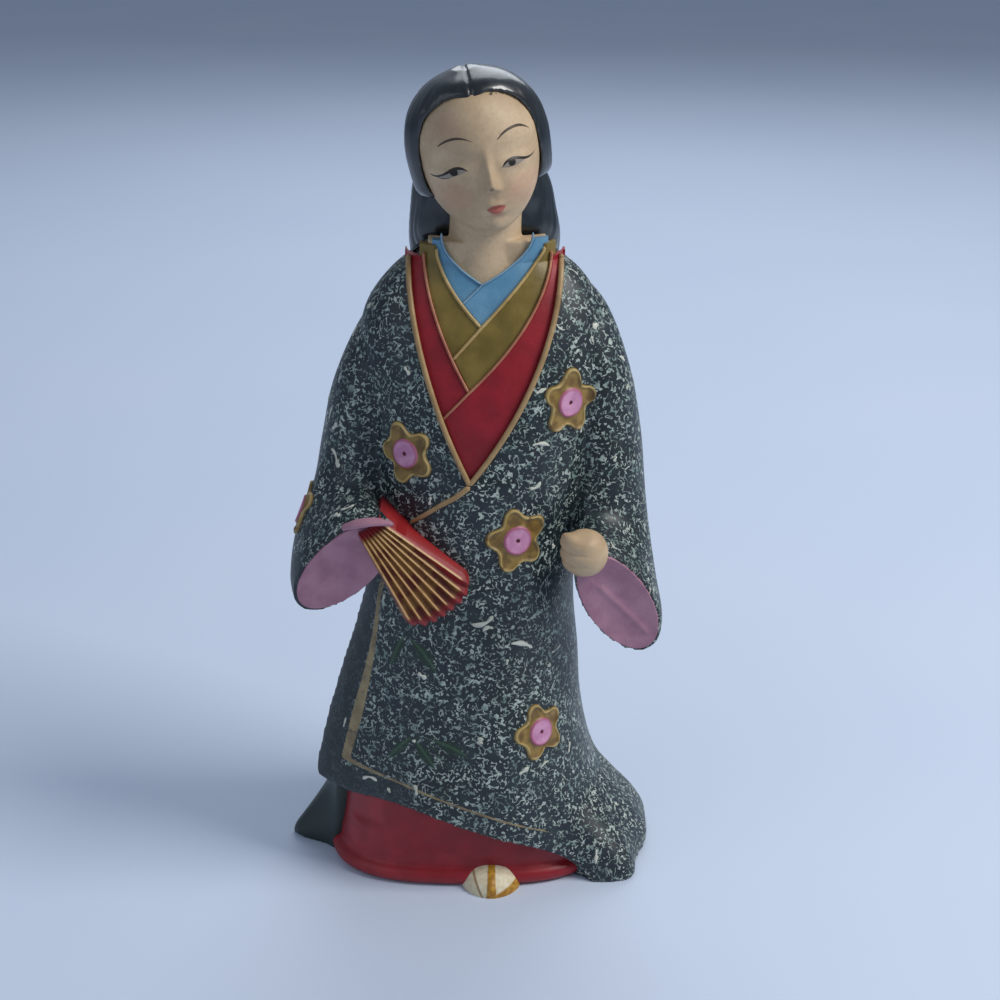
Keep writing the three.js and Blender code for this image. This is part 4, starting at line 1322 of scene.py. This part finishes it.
class Hair:
    """Long hair: a cap open round the face, and the fall behind the shoulders."""

    VOXEL = 0.5
    Z = (-9, -7, 0, 6, 12, 17, 21, 23.6)
    HALF_WIDTH = (17.6, 18.9, 19.8, 19.7, 18.2, 15, 10, 3)
    FRONT = (9.5, 10, 11, 11, 11.2, 12.2, 9.8, 3)
    BACK = (17.6, 19.2, 21, 21, 19.4, 16, 10.6, 3.5)
    OPEN_HALF = 16.3
    OPEN_TOP = 18.7
    OPEN_BOTTOM = 14.0
    PEAK = 1.9
    PEAK_HALF = 2.6
    FALL_Z = (104, 108, 118, 132, 148, 162, 174, 182, 190, 198, 206, 214, 222)
    FALL_X = (1.2, 1.2, 1.4, 1.6, 1.8, 2, 2.3, 2.6, 2.8, 2.4, 1.8, 0.6, -0.6)
    FALL_HALF = (4, 8, 12, 15, 17, 18.4, 19.8, 20.8, 21.4, 20.4, 19, 16, 11)
    FALL_FRONT = (16, 15, 14, 14, 14, 13, 10, 5, 1.5, 1, 1, 2, 3)
    FALL_BACK = (20.6, 22, 23, 23.6, 24.2, 24.6, 24.2, 22.8, 21.2, 19.8, 18.6, 16, 11)

    def _cap(self) -> Shell:
        """Rings of the cap. Inside the opening they are pushed back into the head.

        The opening is the region where |x/w|^2.5 + |z/h|^2.5 is under 1, less a small peak that
        comes down in the middle of the brow.
        """
        z, angle = mesh_grid(np.linspace(-9, 23.6, 170), np.arange(0, 360, 0.8))
        half, front, back = (smooth_table(self.Z, t)(z) for t in (self.HALF_WIDTH, self.FRONT, self.BACK))
        p = polar(angle, oval_radius(angle, half, half, front, back, 2), z)
        x, y = p[..., 0], p[..., 1]
        lifted = z + self.PEAK * bell(x, self.PEAK_HALF) * (z > 0)
        height = np.where(lifted > 0, self.OPEN_TOP, self.OPEN_BOTTOM)
        reach = (np.abs(x / self.OPEN_HALF) ** 2.5 + np.abs(lifted / height) ** 2.5) ** 0.4
        inside = (1 - reach) * self.OPEN_HALF
        push = smooth_step(-0.15, 0.9, inside) * (y < -2)
        p[..., 1] = y + push * (-1.0 - y)
        return ring_shell(HEAD.outside(p))

    def _fall(self) -> Shell:
        """Rings of the fall, a little squarer than ovals."""
        z, a = mesh_grid(np.linspace(104, 222, 190), np.linspace(0, 2 * np.pi, 160, endpoint=False))
        x, half, front, back = (smooth_table(self.FALL_Z, t)(z) for t in
                                (self.FALL_X, self.FALL_HALF, self.FALL_FRONT, self.FALL_BACK))
        c, s = (np.sign(w) * np.abs(w) ** 0.8 for w in (np.cos(a), np.sin(a)))
        return ring_shell(np.stack([x + half * c, (front + back) / 2 + (back - front) / 2 * s, z], -1))

    @staticmethod
    def _comb(shell: Shell) -> None:
        """Presses locks and comb lines in: sums of sines round the fall, and a parting on the crown."""
        p = shell.points
        axis_x = smooth_table((100, 180, 215, 240), (1.2, 2.4, 0.2, -2.5))(p[:, 2])
        around = np.arctan2(p[:, 0] - axis_x, p[:, 1] + 2)
        wander = 0.05 * np.sin(p[:, 2] * 0.11 + around * 3)
        u = around + wander
        locks = 0.26 * np.sin(u * 17) + 0.16 * np.sin(u * 29 + 1.3)
        lines = 0.07 * np.sin(u * 83 + 2 * np.sin(p[:, 2] * 0.05)) + 0.05 * np.sin(u * 131)
        behind = smooth_step(-6, 4, p[:, 1])
        crown = smooth_step(238, 228, p[:, 2])
        end = smooth_step(104, 112, p[:, 2])
        head = HEAD.inside(p)
        parting = 0.5 * bell(head[:, 0] - 0.1, 0.55) * smooth_step(10, 16, head[:, 2]) * (head[:, 1] < 6)
        press = (locks + lines) * (0.25 + 0.75 * behind) * crown * end - parting
        shell.points = p + normals_of(shell) * press[:, None]

    def build(self) -> bpy.types.Object:
        """The finished hair."""
        shell = fused([self._cap(), self._fall()], self.VOXEL, rounding=3, evening=4)
        self._comb(shell)
        return dress("hair", shell, hair_paint())


def hair_paint() -> Pot:
    """Glossy blue-black lacquer over fine brush lines."""
    pot = Pot("black_lacquer", Specular_IOR_Level=0.6, Coat_Weight=0.7, Coat_Roughness=0.12)
    place = pot.place()
    streak = pot.node("ShaderNodeMapping", {"vector_type": "POINT"},
                      {"Vector": place, "Scale": (1.0, 1.0, 0.12)})
    fine = pot.noise(streak, 1.3, detail=4.0)
    soft = pot.noise(place, 16, detail=2.0)
    color = pot.mix(soft.ramp(0.3, 0.7), srgb(12, 17, 20), srgb(24, 33, 38))
    color = pot.mix(fine.ramp(0.5, 0.8) * 0.5, color, srgb(40, 52, 58))
    pot.feed("Base Color", color)
    pot.feed("Roughness", fine * 0.2 + 0.22)
    pot.bump(fine, 0.05)
    return pot


# Hands, linings and the fan


@dataclass(frozen=True)
class Lining:
    """The pink lining that fills a cuff's mouth, dished, with a fold along it."""

    name: str
    sleeve: Sleeve
    fold: tuple
    fold_height: float
    spread: float = 0.965
    lip: float = 0.35
    dish: float = 1.5

    def build(self) -> Shell:
        """Rings from the middle to the rim, dished as (1 - v^2), with a bell along the fold line.

        The fold is a line in the mouth's own plane, from one place to another, each given as
        shares of the half-axes across and up.
        """
        last = np.array([len(self.sleeve.at) - 1])
        at, up, out = (self.sleeve.part(name, last)[0] for name in ("at", "up", "out"))
        normal = self.sleeve.mouth_normal()
        v = np.concatenate([np.linspace(0.01, 0.92, 50), np.linspace(0.93, 1, 10)])
        rows, a = mesh_grid(v, np.linspace(0, 2 * np.pi, 120, endpoint=False))
        s, t = rows * np.sin(a), rows * np.cos(a)
        (s0, t0), (s1, t1) = self.fold
        run = np.hypot((s1 - s0) * 9, (t1 - t0) * 18)
        along = ((s - s0) * (s1 - s0) * 81 + (t - t0) * (t1 - t0) * 324) / run**2
        off = np.hypot((s - s0 - np.clip(along, 0, 1) * (s1 - s0)) * 9, (t - t0 - np.clip(along, 0, 1) * (t1 - t0)) * 18)
        side = np.sign((s - s0) * (t1 - t0) - (t - t0) * (s1 - s0))
        fold = self.fold_height * (bell(off, 1.0) + 0.7 * smooth_step(-1.4, 1.4, side * off) * (1 - rows))
        height = self.lip * np.sqrt(np.clip(1 - rows**8, 0, 1)) - self.dish * (1 - rows**2) ** 0.8 + fold
        height = height - 0.9 * smooth_step(0.96, 1, rows)
        top = at + self.spread * (s[..., None] * out + t[..., None] * up) + height[..., None] * normal
        under = at + self.spread * (np.sin(a[:1])[..., None] * out + np.cos(a[:1])[..., None] * up) - 3.2 * normal
        return ring_shell(np.concatenate([top, under]))


LININGS = (
    Lining("right_sleeve_lining", RIGHT_SLEEVE, ((0.35, 0.55), (0.0, -0.75)), 0.35),
    Lining("left_sleeve_lining", LEFT_SLEEVE, ((-0.2, 0.35), (0.25, -0.7)), 0.45),
)


@dataclass(frozen=True)
class Fist:
    """The closed left hand at the top of its cuff: an egg with four rolled fingers and a thumb."""

    at: tuple = (30.6, -34.0, 109.8)
    half: tuple = (6.6, 5.8, 6.7)
    fingers: int = 4
    roll: float = 0.55
    rows: int = 150
    columns: int = 170

    def build(self) -> Shell:
        """A rounded egg. Bands of |cos| across it make the fingers, deepest on the side where they
        curl, and a bell along the top makes the thumb."""
        t, a = mesh_grid(np.linspace(-0.995, 0.995, self.rows), np.linspace(0, 2 * np.pi, self.columns, endpoint=False))
        size = np.sqrt(1 - t**2) ** 0.85
        x, y = np.cos(a), np.sin(a)
        curl = smooth_step(0.45, -0.5, x) * smooth_step(0.4, -0.2, y)
        slant = t + 0.12 * x
        rolls = np.abs(np.cos((slant + 0.1) * self.fingers * np.pi / 2 * 0.95)) ** 0.7
        below_thumb = smooth_step(0.62, 0.45, t)
        thumb = 0.9 * bell(t - 0.66 - 0.12 * x, 0.2) * smooth_step(0.8, 0.1, x) * smooth_step(0.5, -0.2, y)
        bump = self.roll * (rolls - 0.5) * curl * below_thumb + thumb
        tip = 1.6 * bell(t - 0.72, 0.16) * bell(x + 0.85, 0.4) * smooth_step(0.3, -0.2, y)
        points = np.stack([
            self.at[0] + (self.half[0] + bump + tip) * size * x,
            self.at[1] + (self.half[1] + bump) * size * y,
            self.at[2] + self.half[2] * t + 0.9 * tip * (x < 0)], -1)
        return ring_shell(points)


@dataclass(frozen=True)
class Fan:
    """The half-open fan: pleats with a raised rib on each ridge, held in the right cuff."""

    pivot: tuple = (-38.6, 129.2)
    y: float = -33.6
    lean: float = -1.6
    from_angle: float = -65.5
    to_angle: float = -36.5
    inner: float = 15.0
    outer: float = 49.4
    ribs: int = 8
    pleat: float = 0.55
    rib_height: float = 0.28
    rib_half: float = 0.3
    corner_cut: float = 4.0
    sunk: float = 1.5
    rows: int = 90
    per_rib: int = 26

    def build(self) -> tuple[Shell, Array]:
        """The fan and, for each point, its place along, its place across and the distance from the
        nearest rib.

        Across, the pleats are a triangle wave softened by a power, and each rib a bell on its
        ridge. The outer edge bows in at the corners as (2u - 1)^4 and is scalloped at each pleat.
        """
        columns = self.ribs * self.per_rib
        v, u = mesh_grid(np.linspace(0, 1, self.rows + 1), np.linspace(0, 1, columns + 1))
        angle = np.radians(self.from_angle + (self.to_angle - self.from_angle) * u)
        phase = (u * self.ribs) % 1
        from_ridge = np.abs(phase - 0.5)
        edge = self.outer - self.corner_cut * (2 * u - 1) ** 4 - 0.7 * (2 * from_ridge) ** 2
        radius = self.inner + (edge - self.inner) * v
        spacing = radius * math.radians(self.to_angle - self.from_angle) / self.ribs
        off = from_ridge * spacing
        pleats = self.pleat * (1 - 4 * from_ridge) * (0.3 + 0.7 * v)
        rib = self.rib_height * bell(off, self.rib_half) * (1 - smooth_step(0.9, 0.96, v))
        lift = pleats + rib - 0.5 * smooth_step(0.97, 1, v)
        across = self.pivot[0] + radius * np.cos(angle)
        up = self.pivot[1] + radius * np.sin(angle)
        outer = np.stack([across, self.y + self.lean * (1 - v) - lift, up], -1)
        back = np.maximum(GOWN.front_y(across, up) + self.sunk, self.y + 5.5)
        inner = np.stack([across, back, up], -1)
        mark = np.stack([v, u, off], -1).reshape(-1, 3)
        return slab_shell(outer, inner), np.concatenate([mark, mark])


def fan_paint() -> Pot:
    """Red-brown pleats brushed with gold and darkened with painted shade away from each rib, pale gold ribs, and plain
    red at the rim and one side.
    """
    pot = Pot("fan_paint", Specular_IOR_Level=0.5, Coat_Weight=0.15, Coat_Roughness=0.3)
    place = pot.place()
    fan = pot.mark("fan")
    along, across, off = fan.part(0), fan.part(1), fan.part(2)
    patch = pot.noise(place, 5.5, detail=3.0, shift=1)
    fine = pot.noise(place, 0.9, detail=4.0, shift=6)
    brown = pot.mix(patch.ramp(0.4, 0.62), srgb(104, 38, 20), srgb(142, 96, 42))
    # Painted shade: darker red-brown down into the hollow of each pleat, away from its rib.
    color = pot.mix(off.ramp(0.5, 1.5) * 0.5, brown, srgb(74, 26, 14))
    red = srgb(150, 26, 30)
    color = pot.mix((across + (along - 0.5) * 0.18).ramp(0.86, 0.93), color, red)
    color = pot.mix(along.ramp(0.9, 0.95), color, srgb(138, 34, 34))
    rib = (1 - off.ramp(0.22, 0.42)) * (1 - along.ramp(0.9, 0.94)) * along.ramp(0.06, 0.12)
    worn = pot.noise(place, 2.2, detail=4.0, shift=14).ramp(0.28, 0.45) * 0.55 + 0.45
    color = pot.mix(rib * worn, color, srgb(206, 164, 108))
    color = pot.mix(1 - along.ramp(0.03, 0.09), color, srgb(132, 22, 30))
    pot.feed("Base Color", color)
    pot.feed("Roughness", fine * 0.2 + 0.36)
    pot.bump(fine + rib * 0.6, 0.06)
    return pot


class Hands:
    """The left hand, the sleeve linings, the fan and the lip of lining over it."""

    LIP = ((-37.0, -33.4, 117.0), (-32.5, -35.4, 119.1), (-27, -36.2, 120.0), (-22.5, -36.2, 119.2))
    LIP_HALF = (0.7, 1.05, 0.95, 0.4)

    def build(self) -> None:
        """Makes every piece."""
        pink = brushed_paint("mauve_lining", srgb(158, 108, 128), srgb(186, 136, 152), 0.5, grain=0.1)
        for lining in LININGS:
            dress(lining.name, lining.build(), pink)
        line = resampled(np.array(self.LIP), 0.5)
        widths = smooth_table(np.linspace(0, 1, 4), self.LIP_HALF)(np.linspace(0, 1, len(line)))
        dress("lining_lip", cord_shell(line, np.array([0.0, -0.5, 0.85]), widths * 1.5, 0.75, sides=16), pink)
        dress("left_hand", Fist().build(), brushed_paint("hand_paint", srgb(182, 152, 116), srgb(206, 178, 142), 0.5))
        shell, mark = Fan().build()
        dress("fan", shell, fan_paint(), {"fan": mark}, sharp=50)


# The foot


@dataclass(frozen=True)
class Foot:
    """The toe of a shoe under the skirt: a half dome with a strap over it."""

    x: float = 4.3
    y: float = -31.0
    half_width: float = 8.8
    reach: float = 9.0
    height: float = 6.4

    def build(self) -> tuple[Shell, Array]:
        """The dome, narrowing a little to the toe, and each point's place across, out and up as
        shares of its size."""
        v, a = mesh_grid(np.linspace(0, 1, 60), np.linspace(0, 2 * np.pi, 150, endpoint=False))
        size = np.sqrt(np.clip(1 - v**2.4, 0.001, 1))
        across = size * np.cos(a)
        out = size * np.sin(a)
        strap = 0.4 * bell(across * self.half_width, 1.1) * smooth_step(-0.1, -0.5, out) * smooth_step(0.05, 0.3, v)
        x = self.x + self.half_width * across * (1 - 0.1 * np.clip(-out, 0, 1) ** 2)
        y = self.y + (self.reach + strap) * out
        z = (self.height + 0.5 * strap) * v
        mark = np.stack([across, out, v], -1).reshape(-1, 3)
        return ring_shell(np.stack([x, y, z], -1)), np.concatenate([mark, mark[:1], mark[-1:]])


def foot_paint() -> Pot:
    """Cream with an ochre strap that widens to the toe and ochre along one side of the sole."""
    pot = Pot("foot_paint", Specular_IOR_Level=0.5)
    place = pot.place()
    mark = pot.mark("foot")
    x, v = mark.part(0), mark.part(2)
    fine = pot.noise(place, 1.4, detail=4.0)
    color = pot.mix(fine.ramp(0.35, 0.7), srgb(222, 206, 170), srgb(236, 226, 198))
    ochre = pot.mix(fine.ramp(0.4, 0.6), srgb(164, 112, 28), srgb(196, 146, 48))
    middle = (0.13 + (1 - v) * 0.07 - abs(x - 0.02)).ramp(-0.02, 0.03)
    side = (0.16 - v + (x - 0.1) * 0.5).ramp(-0.02, 0.06) * x.ramp(0.0, 0.06)
    line = (0.05 - abs(abs(x + 0.02) - 0.3 - v * 0.35)).ramp(-0.01, 0.02) * (1 - x.ramp(-0.05, 0.0))
    color = pot.mix(line * 0.8, color, srgb(150, 104, 50))
    color = pot.mix(middle.most(side), color, ochre)
    pot.feed("Base Color", color)
    pot.feed("Roughness", fine * 0.2 + 0.4)
    pot.bump(fine + middle, 0.08)
    return pot


# Blossoms and flakes


@dataclass(frozen=True)
class Blossom:
    """A raised blossom: where the photograph shows its middle, its turn and its size."""

    name: str
    pixel: tuple
    turn: float
    radius: float = 8.0


class Blossoms:
    """Five-petalled blossoms in low relief."""

    PLACES = (
        Blossom("right_breast_blossom", (406, 453), 22),
        Blossom("left_breast_blossom", (569, 402), -8, 8.2),
        Blossom("waist_blossom", (517, 540), 12, 8.4),
        Blossom("hem_blossom", (540, 731), 14, 8.0),
    )
    SLEEVE_AT = (-50.0, -10.0, 113.0)
    PETALS = 5
    SCALLOP = 0.17
    DISC = 4.3
    ROWS, COLUMNS = 44, 150

    def __init__(self, ground: Ground) -> None:
        """Keeps the robe's skin."""
        self.ground = ground

    def _lay(self, middle: Array, turn: float, radius: float) -> tuple[Shell, Array]:
        """A scalloped disc on the robe.

        The outline is 1 + s cos 5a with the petals' tips flattened. The height has a rim near the
        edge, a hollow in each petal and a raised disc with a small pit.
        """
        normal = self.ground.facing(middle)
        up = unit(np.array([0, 0, 1.0]) - normal * normal[2])
        across = np.cross(up, normal)
        v, a = mesh_grid(np.linspace(0.02, 1, self.ROWS), np.linspace(0, 2 * np.pi, self.COLUMNS, endpoint=False))
        wave = np.cos(self.PETALS * (a - np.radians(90 + turn)))
        uneven = 0.04 * np.sin(2 * a + turn) + 0.03 * np.sin(3 * a + 2 * turn)
        petal = 1 + self.SCALLOP * np.sign(wave) * np.abs(wave) ** 0.85 + uneven
        r = radius * v * petal
        flat = middle + r[..., None] * (np.cos(a)[..., None] * across + np.sin(a)[..., None] * up)
        on_robe = self.ground.onto(flat + 0.5 * normal)
        from_edge = radius * petal * (1 - v)
        rim = 0.35 * bell(from_edge - 0.7, 0.5)
        hollow = -0.2 * smooth_step(0.9, 2.2, from_edge) * smooth_step(self.DISC, self.DISC + 1, r)
        cleft = -0.25 * bell(wave + 1, 0.35) * smooth_step(self.DISC, self.DISC + 2, r)
        disc = 0.45 * smooth_step(self.DISC + 0.25, self.DISC - 0.45, r) + 0.1 * bell(r - self.DISC + 0.5, 0.4)
        pit = -0.45 * bell(r, 0.55)
        height = (0.5 + rim + hollow + cleft + disc + pit) * smooth_step(0, 0.45, from_edge) + 0.05
        top = on_robe + height[..., None] * normal
        foot = on_robe[-1:] - 1.2 * normal
        mark = np.stack([r, from_edge, wave], -1).reshape(-1, 3)
        rings = np.concatenate([top, foot])
        ring_mark = np.concatenate([mark, np.tile([radius, 0, 0], (self.COLUMNS, 1)), mark[:1], mark[-1:]])
        return ring_shell(rings), ring_mark

    def build(self) -> None:
        """Makes every blossom."""
        paint = blossom_paint(self.DISC)
        for place in self.PLACES:
            shell, mark = self._lay(self.ground.seen(place.pixel), place.turn, place.radius)
            dress(place.name, shell, paint, {"blossom": mark})
        on_sleeve = self.ground.onto(np.array([self.SLEEVE_AT]))[0]
        shell, mark = self._lay(on_sleeve, 30, 7.6)
        dress("right_sleeve_blossom", shell, paint, {"blossom": mark})


def blossom_paint(disc: float) -> Pot:
    """Old-gold petals with a painted highlight of lighter gold along their raised rims, and a pink disc with a dark red
    dot.
    """
    pot = Pot("blossom_paint", Specular_IOR_Level=0.5, Coat_Weight=0.1, Coat_Roughness=0.3)
    place = pot.place()
    mark = pot.mark("blossom")
    r, from_edge = mark.part(0), mark.part(1)
    fine = pot.noise(place, 1.0, detail=4.0)
    patch = pot.noise(place, 3.4, detail=3.0, shift=21)
    color = pot.mix(patch.ramp(0.35, 0.65), srgb(112, 84, 36), srgb(152, 122, 58))
    # Painted highlight: lighter gold laid along the raised rim of each petal, broken up by noise.
    rim = (1 - abs(from_edge - 0.65).ramp(0.15, 0.6)) * patch.ramp(0.3, 0.5)
    color = pot.mix(rim * 0.75, color, srgb(202, 176, 112))
    color = pot.mix((1 - from_edge.ramp(0.0, 0.25)) * 0.7, color, srgb(58, 46, 30))
    wobble = fine * 0.5 - 0.25
    in_disc = (disc - r + wobble * 0.5).ramp(-0.12, 0.12)
    pink = pot.mix(patch.ramp(0.3, 0.7), srgb(196, 128, 166), srgb(216, 156, 188))
    pink = pot.mix((r + wobble).ramp(disc - 1.1, disc - 0.3), pink, srgb(180, 98, 126))
    color = pot.mix(in_disc, color, pink)
    color = pot.mix(1 - (r + wobble * 0.4).ramp(0.5, 0.75), color, srgb(92, 10, 34))
    pot.feed("Base Color", color)
    pot.feed("Roughness", fine * 0.2 + 0.38)
    pot.bump(fine, 0.08)
    return pot


@dataclass(frozen=True)
class Flake:
    """A thick off-white flake: its middle in the photograph, length, half-width, turn and bend."""

    pixel: tuple
    length: float
    half: float
    turn: float
    bend: float = 0.0


class Flakes:
    """Raised flakes of off-white paint: the ones that the photograph shows, and more behind."""

    SHOWN = (
        Flake((369, 306), 2.2, 0.75, 30), Flake((355, 331), 3.4, 0.36, 112), Flake((331, 412), 4.6, 0.22, 75),
        Flake((335, 426), 3.0, 0.6, 50), Flake((334, 457), 5.6, 0.38, 125, 0.6), Flake((338, 464), 2.2, 0.62, 110),
        Flake((347, 507), 4.4, 0.32, 48, 0.5), Flake((337, 515), 2.4, 0.6, 10), Flake((595, 326), 2.4, 0.9, 15),
        Flake((592, 339), 1.8, 0.5, 100), Flake((622, 359), 3.4, 0.5, 140, 0.4), Flake((627, 387), 1.8, 0.6, 30),
        Flake((541, 446), 5.6, 0.45, 172, 0.5), Flake((535, 485), 3.8, 0.5, 25, 0.9), Flake((430, 501), 2.6, 0.35, 80),
        Flake((573, 272), 4.0, 0.25, 130, 0.5), Flake((560, 327), 3.0, 0.24, 140, -0.5), Flake((407, 371), 2.8, 0.42, 130),
        Flake((541, 391), 3.4, 0.5, 20), Flake((547, 398), 2.6, 0.5, 60), Flake((615, 459), 1.8, 0.45, 60),
        Flake((553, 546), 1.8, 0.55, 110), Flake((581, 429), 2.2, 0.35, 80), Flake((482, 620), 6.8, 0.62, 22, 0.8),
        Flake((488, 630), 3.2, 0.5, 15, -0.9), Flake((522, 646), 7.6, 0.62, 158, 0.4), Flake((556, 648), 4.8, 0.32, 12, 0.3),
        Flake((422, 676), 3.0, 0.6, 155), Flake((549, 665), 1.6, 0.6, 0), Flake((507, 662), 1.8, 0.35, 75),
        Flake((480, 741), 2.4, 0.95, 80), Flake((414, 741), 1.2, 0.5, 0), Flake((524, 771), 3.6, 0.6, 25),
        Flake((545, 764), 3.2, 0.3, 20, -0.6), Flake((370, 780), 5.0, 0.42, 5, -0.8), Flake((415, 790), 3.4, 0.5, 100, 0.4),
        Flake((389, 790), 1.8, 0.45, 120), Flake((596, 857), 4.6, 0.42, 84), Flake((616, 804), 1.8, 0.4, 120),
        Flake((345, 722), 3.4, 0.3, 82), Flake((384, 597), 2.6, 0.42, 70), Flake((569, 747), 3.4, 0.32, 62),
        Flake((330, 395), 4.0, 0.2, 78), Flake((650, 590), 2.6, 0.25, 75), Flake((612, 545), 2.4, 0.3, 60),
    )
    BEHIND = 34
    SEED = 7

    def __init__(self, ground: Ground) -> None:
        """Keeps the robe's skin."""
        self.ground = ground

    def _lay(self, middle: Array, flake: Flake) -> Shell:
        """A bent stroke on the robe: an arc of the given length in the plane that touches it."""
        normal = self.ground.facing(middle, 2.5)
        up = unit(np.array([0, 0, 1.0]) - normal * normal[2])
        across = np.cross(up, normal)
        s = np.linspace(-0.5, 0.5, 11)
        turn = math.radians(flake.turn)
        x = s * flake.length
        y = flake.bend * flake.length * (s**2 - 0.25)
        right = np.cos(turn) * x - np.sin(turn) * y
        rise = np.sin(turn) * x + np.cos(turn) * y
        flat = middle + right[:, None] * across + rise[:, None] * up
        on_robe = self.ground.onto(flat)
        width = flake.half * (1 + 0.35 * np.sin(s * 9 + flake.turn))
        return cord_shell(on_robe + 0.06 * normal, normal, width, 0.24, sides=8)

    def _behind(self) -> list[tuple[Array, Flake]]:
        """Seeded flakes over the back and sides, sparser than in front."""
        rng = np.random.default_rng(self.SEED)
        p, n = self.ground.shell.points, self.ground.normals
        open_cloth = np.flatnonzero((n[:, 1] > 0.1) & (p[:, 2] > 8) & (p[:, 2] < 180)
                                    & ((np.abs(p[:, 0] - 2) > 20) | (p[:, 2] < 100)))
        chosen = rng.choice(open_cloth, self.BEHIND, replace=False)
        return [(p[k], Flake((0, 0), rng.uniform(1.6, 4.8), rng.uniform(0.25, 0.6), rng.uniform(0, 180),
                             rng.uniform(-0.7, 0.7))) for k in chosen]

    def build(self) -> bpy.types.Object:
        """All flakes as one piece."""
        places = [(self.ground.seen(flake.pixel), flake) for flake in self.SHOWN] + self._behind()
        shells = [self._lay(middle, flake) for middle, flake in places]
        paint = brushed_paint("off_white_flakes", srgb(184, 186, 170), srgb(226, 226, 212), 0.5, grain=0.12)
        return dress("white_flakes", joined(shells), paint)


# The studio


class Lamp(Enum):
    """The soft lights: place, aim, size, power and colour."""

    KEY = ((0.8, -0.25, 0.9), (0.0, 0.0, 0.12), 0.5, 9.0, (1.0, 0.98, 0.95))
    FILL = ((-0.9, -0.7, 0.7), (0.0, 0.0, 0.12), 1.1, 2.0, (0.84, 0.92, 1.0))
    BACK = ((0.1, 0.9, 0.9), (0.0, 0.0, 0.15), 0.9, 5.0, (0.9, 0.95, 1.0))


class Studio:
    """A plain pale floor, soft lights and the camera."""

    FLOOR_HALF = 6.0
    SKY = srgb(196, 212, 236)
    SKY_STRENGTH = 0.30

    def _floor(self) -> None:
        """One large flat square, far wider than the view."""
        h = self.FLOOR_HALF
        mesh = bpy.data.meshes.new("floor")
        mesh.from_pydata([(-h, -h, 0), (h, -h, 0), (h, h, 0), (-h, h, 0)], [], [(0, 1, 2, 3)])
        floor = bpy.data.objects.new("floor", mesh)
        bpy.context.collection.objects.link(floor)
        pot = Pot("pale_floor", Roughness=0.75, Specular_IOR_Level=0.25)
        place = pot.place()
        pot.feed("Base Color", pot.mix(pot.noise(place, 180, detail=1.0), srgb(206, 219, 240), srgb(214, 225, 243)))
        mesh.materials.append(pot.material)

    def _sky(self) -> None:
        """An even pale light from all round."""
        world = bpy.data.worlds.new("sky")
        world.use_nodes = True
        background = world.node_tree.nodes["Background"]
        background.inputs["Color"].default_value = self.SKY
        background.inputs["Strength"].default_value = self.SKY_STRENGTH
        bpy.context.scene.world = world

    def build(self) -> None:
        """Sets up floor, sky, lamps and camera."""
        self._floor()
        self._sky()
        for lamp in Lamp:
            at, aim, size, power, color = lamp.value
            light = bpy.data.lights.new(lamp.name.lower(), "AREA")
            light.shape = "SQUARE"
            light.size = size
            light.energy = power
            light.color = color
            stand = bpy.data.objects.new(lamp.name.lower(), light)
            stand.location = at
            stand.rotation_euler = (Vector(aim) - Vector(at)).to_track_quat("-Z", "Y").to_euler()
            bpy.context.collection.objects.link(stand)
        bpy.context.scene.view_settings.view_transform = "Standard"
        VIEW.make_camera()


def main() -> None:
    """Builds the pieces in order."""
    logging.basicConfig(level=logging.INFO, format="%(name)s %(message)s")
    Studio().build()
    robe = Robe()
    robe.build()
    dress("under_skirt", SKIRT.build(), brushed_paint("skirt_red", srgb(138, 16, 28), srgb(164, 26, 38), 0.42, 0.1))
    shell, mark = Foot().build()
    dress("foot", shell, foot_paint(), {"foot": mark})
    Collars(robe.ground).build()
    Face().build()
    Hair().build()
    Hands().build()
    Blossoms(robe.ground).build()
    Flakes(robe.ground).build()
    robe.ground.done()


if __name__ == "__main__":
    main()
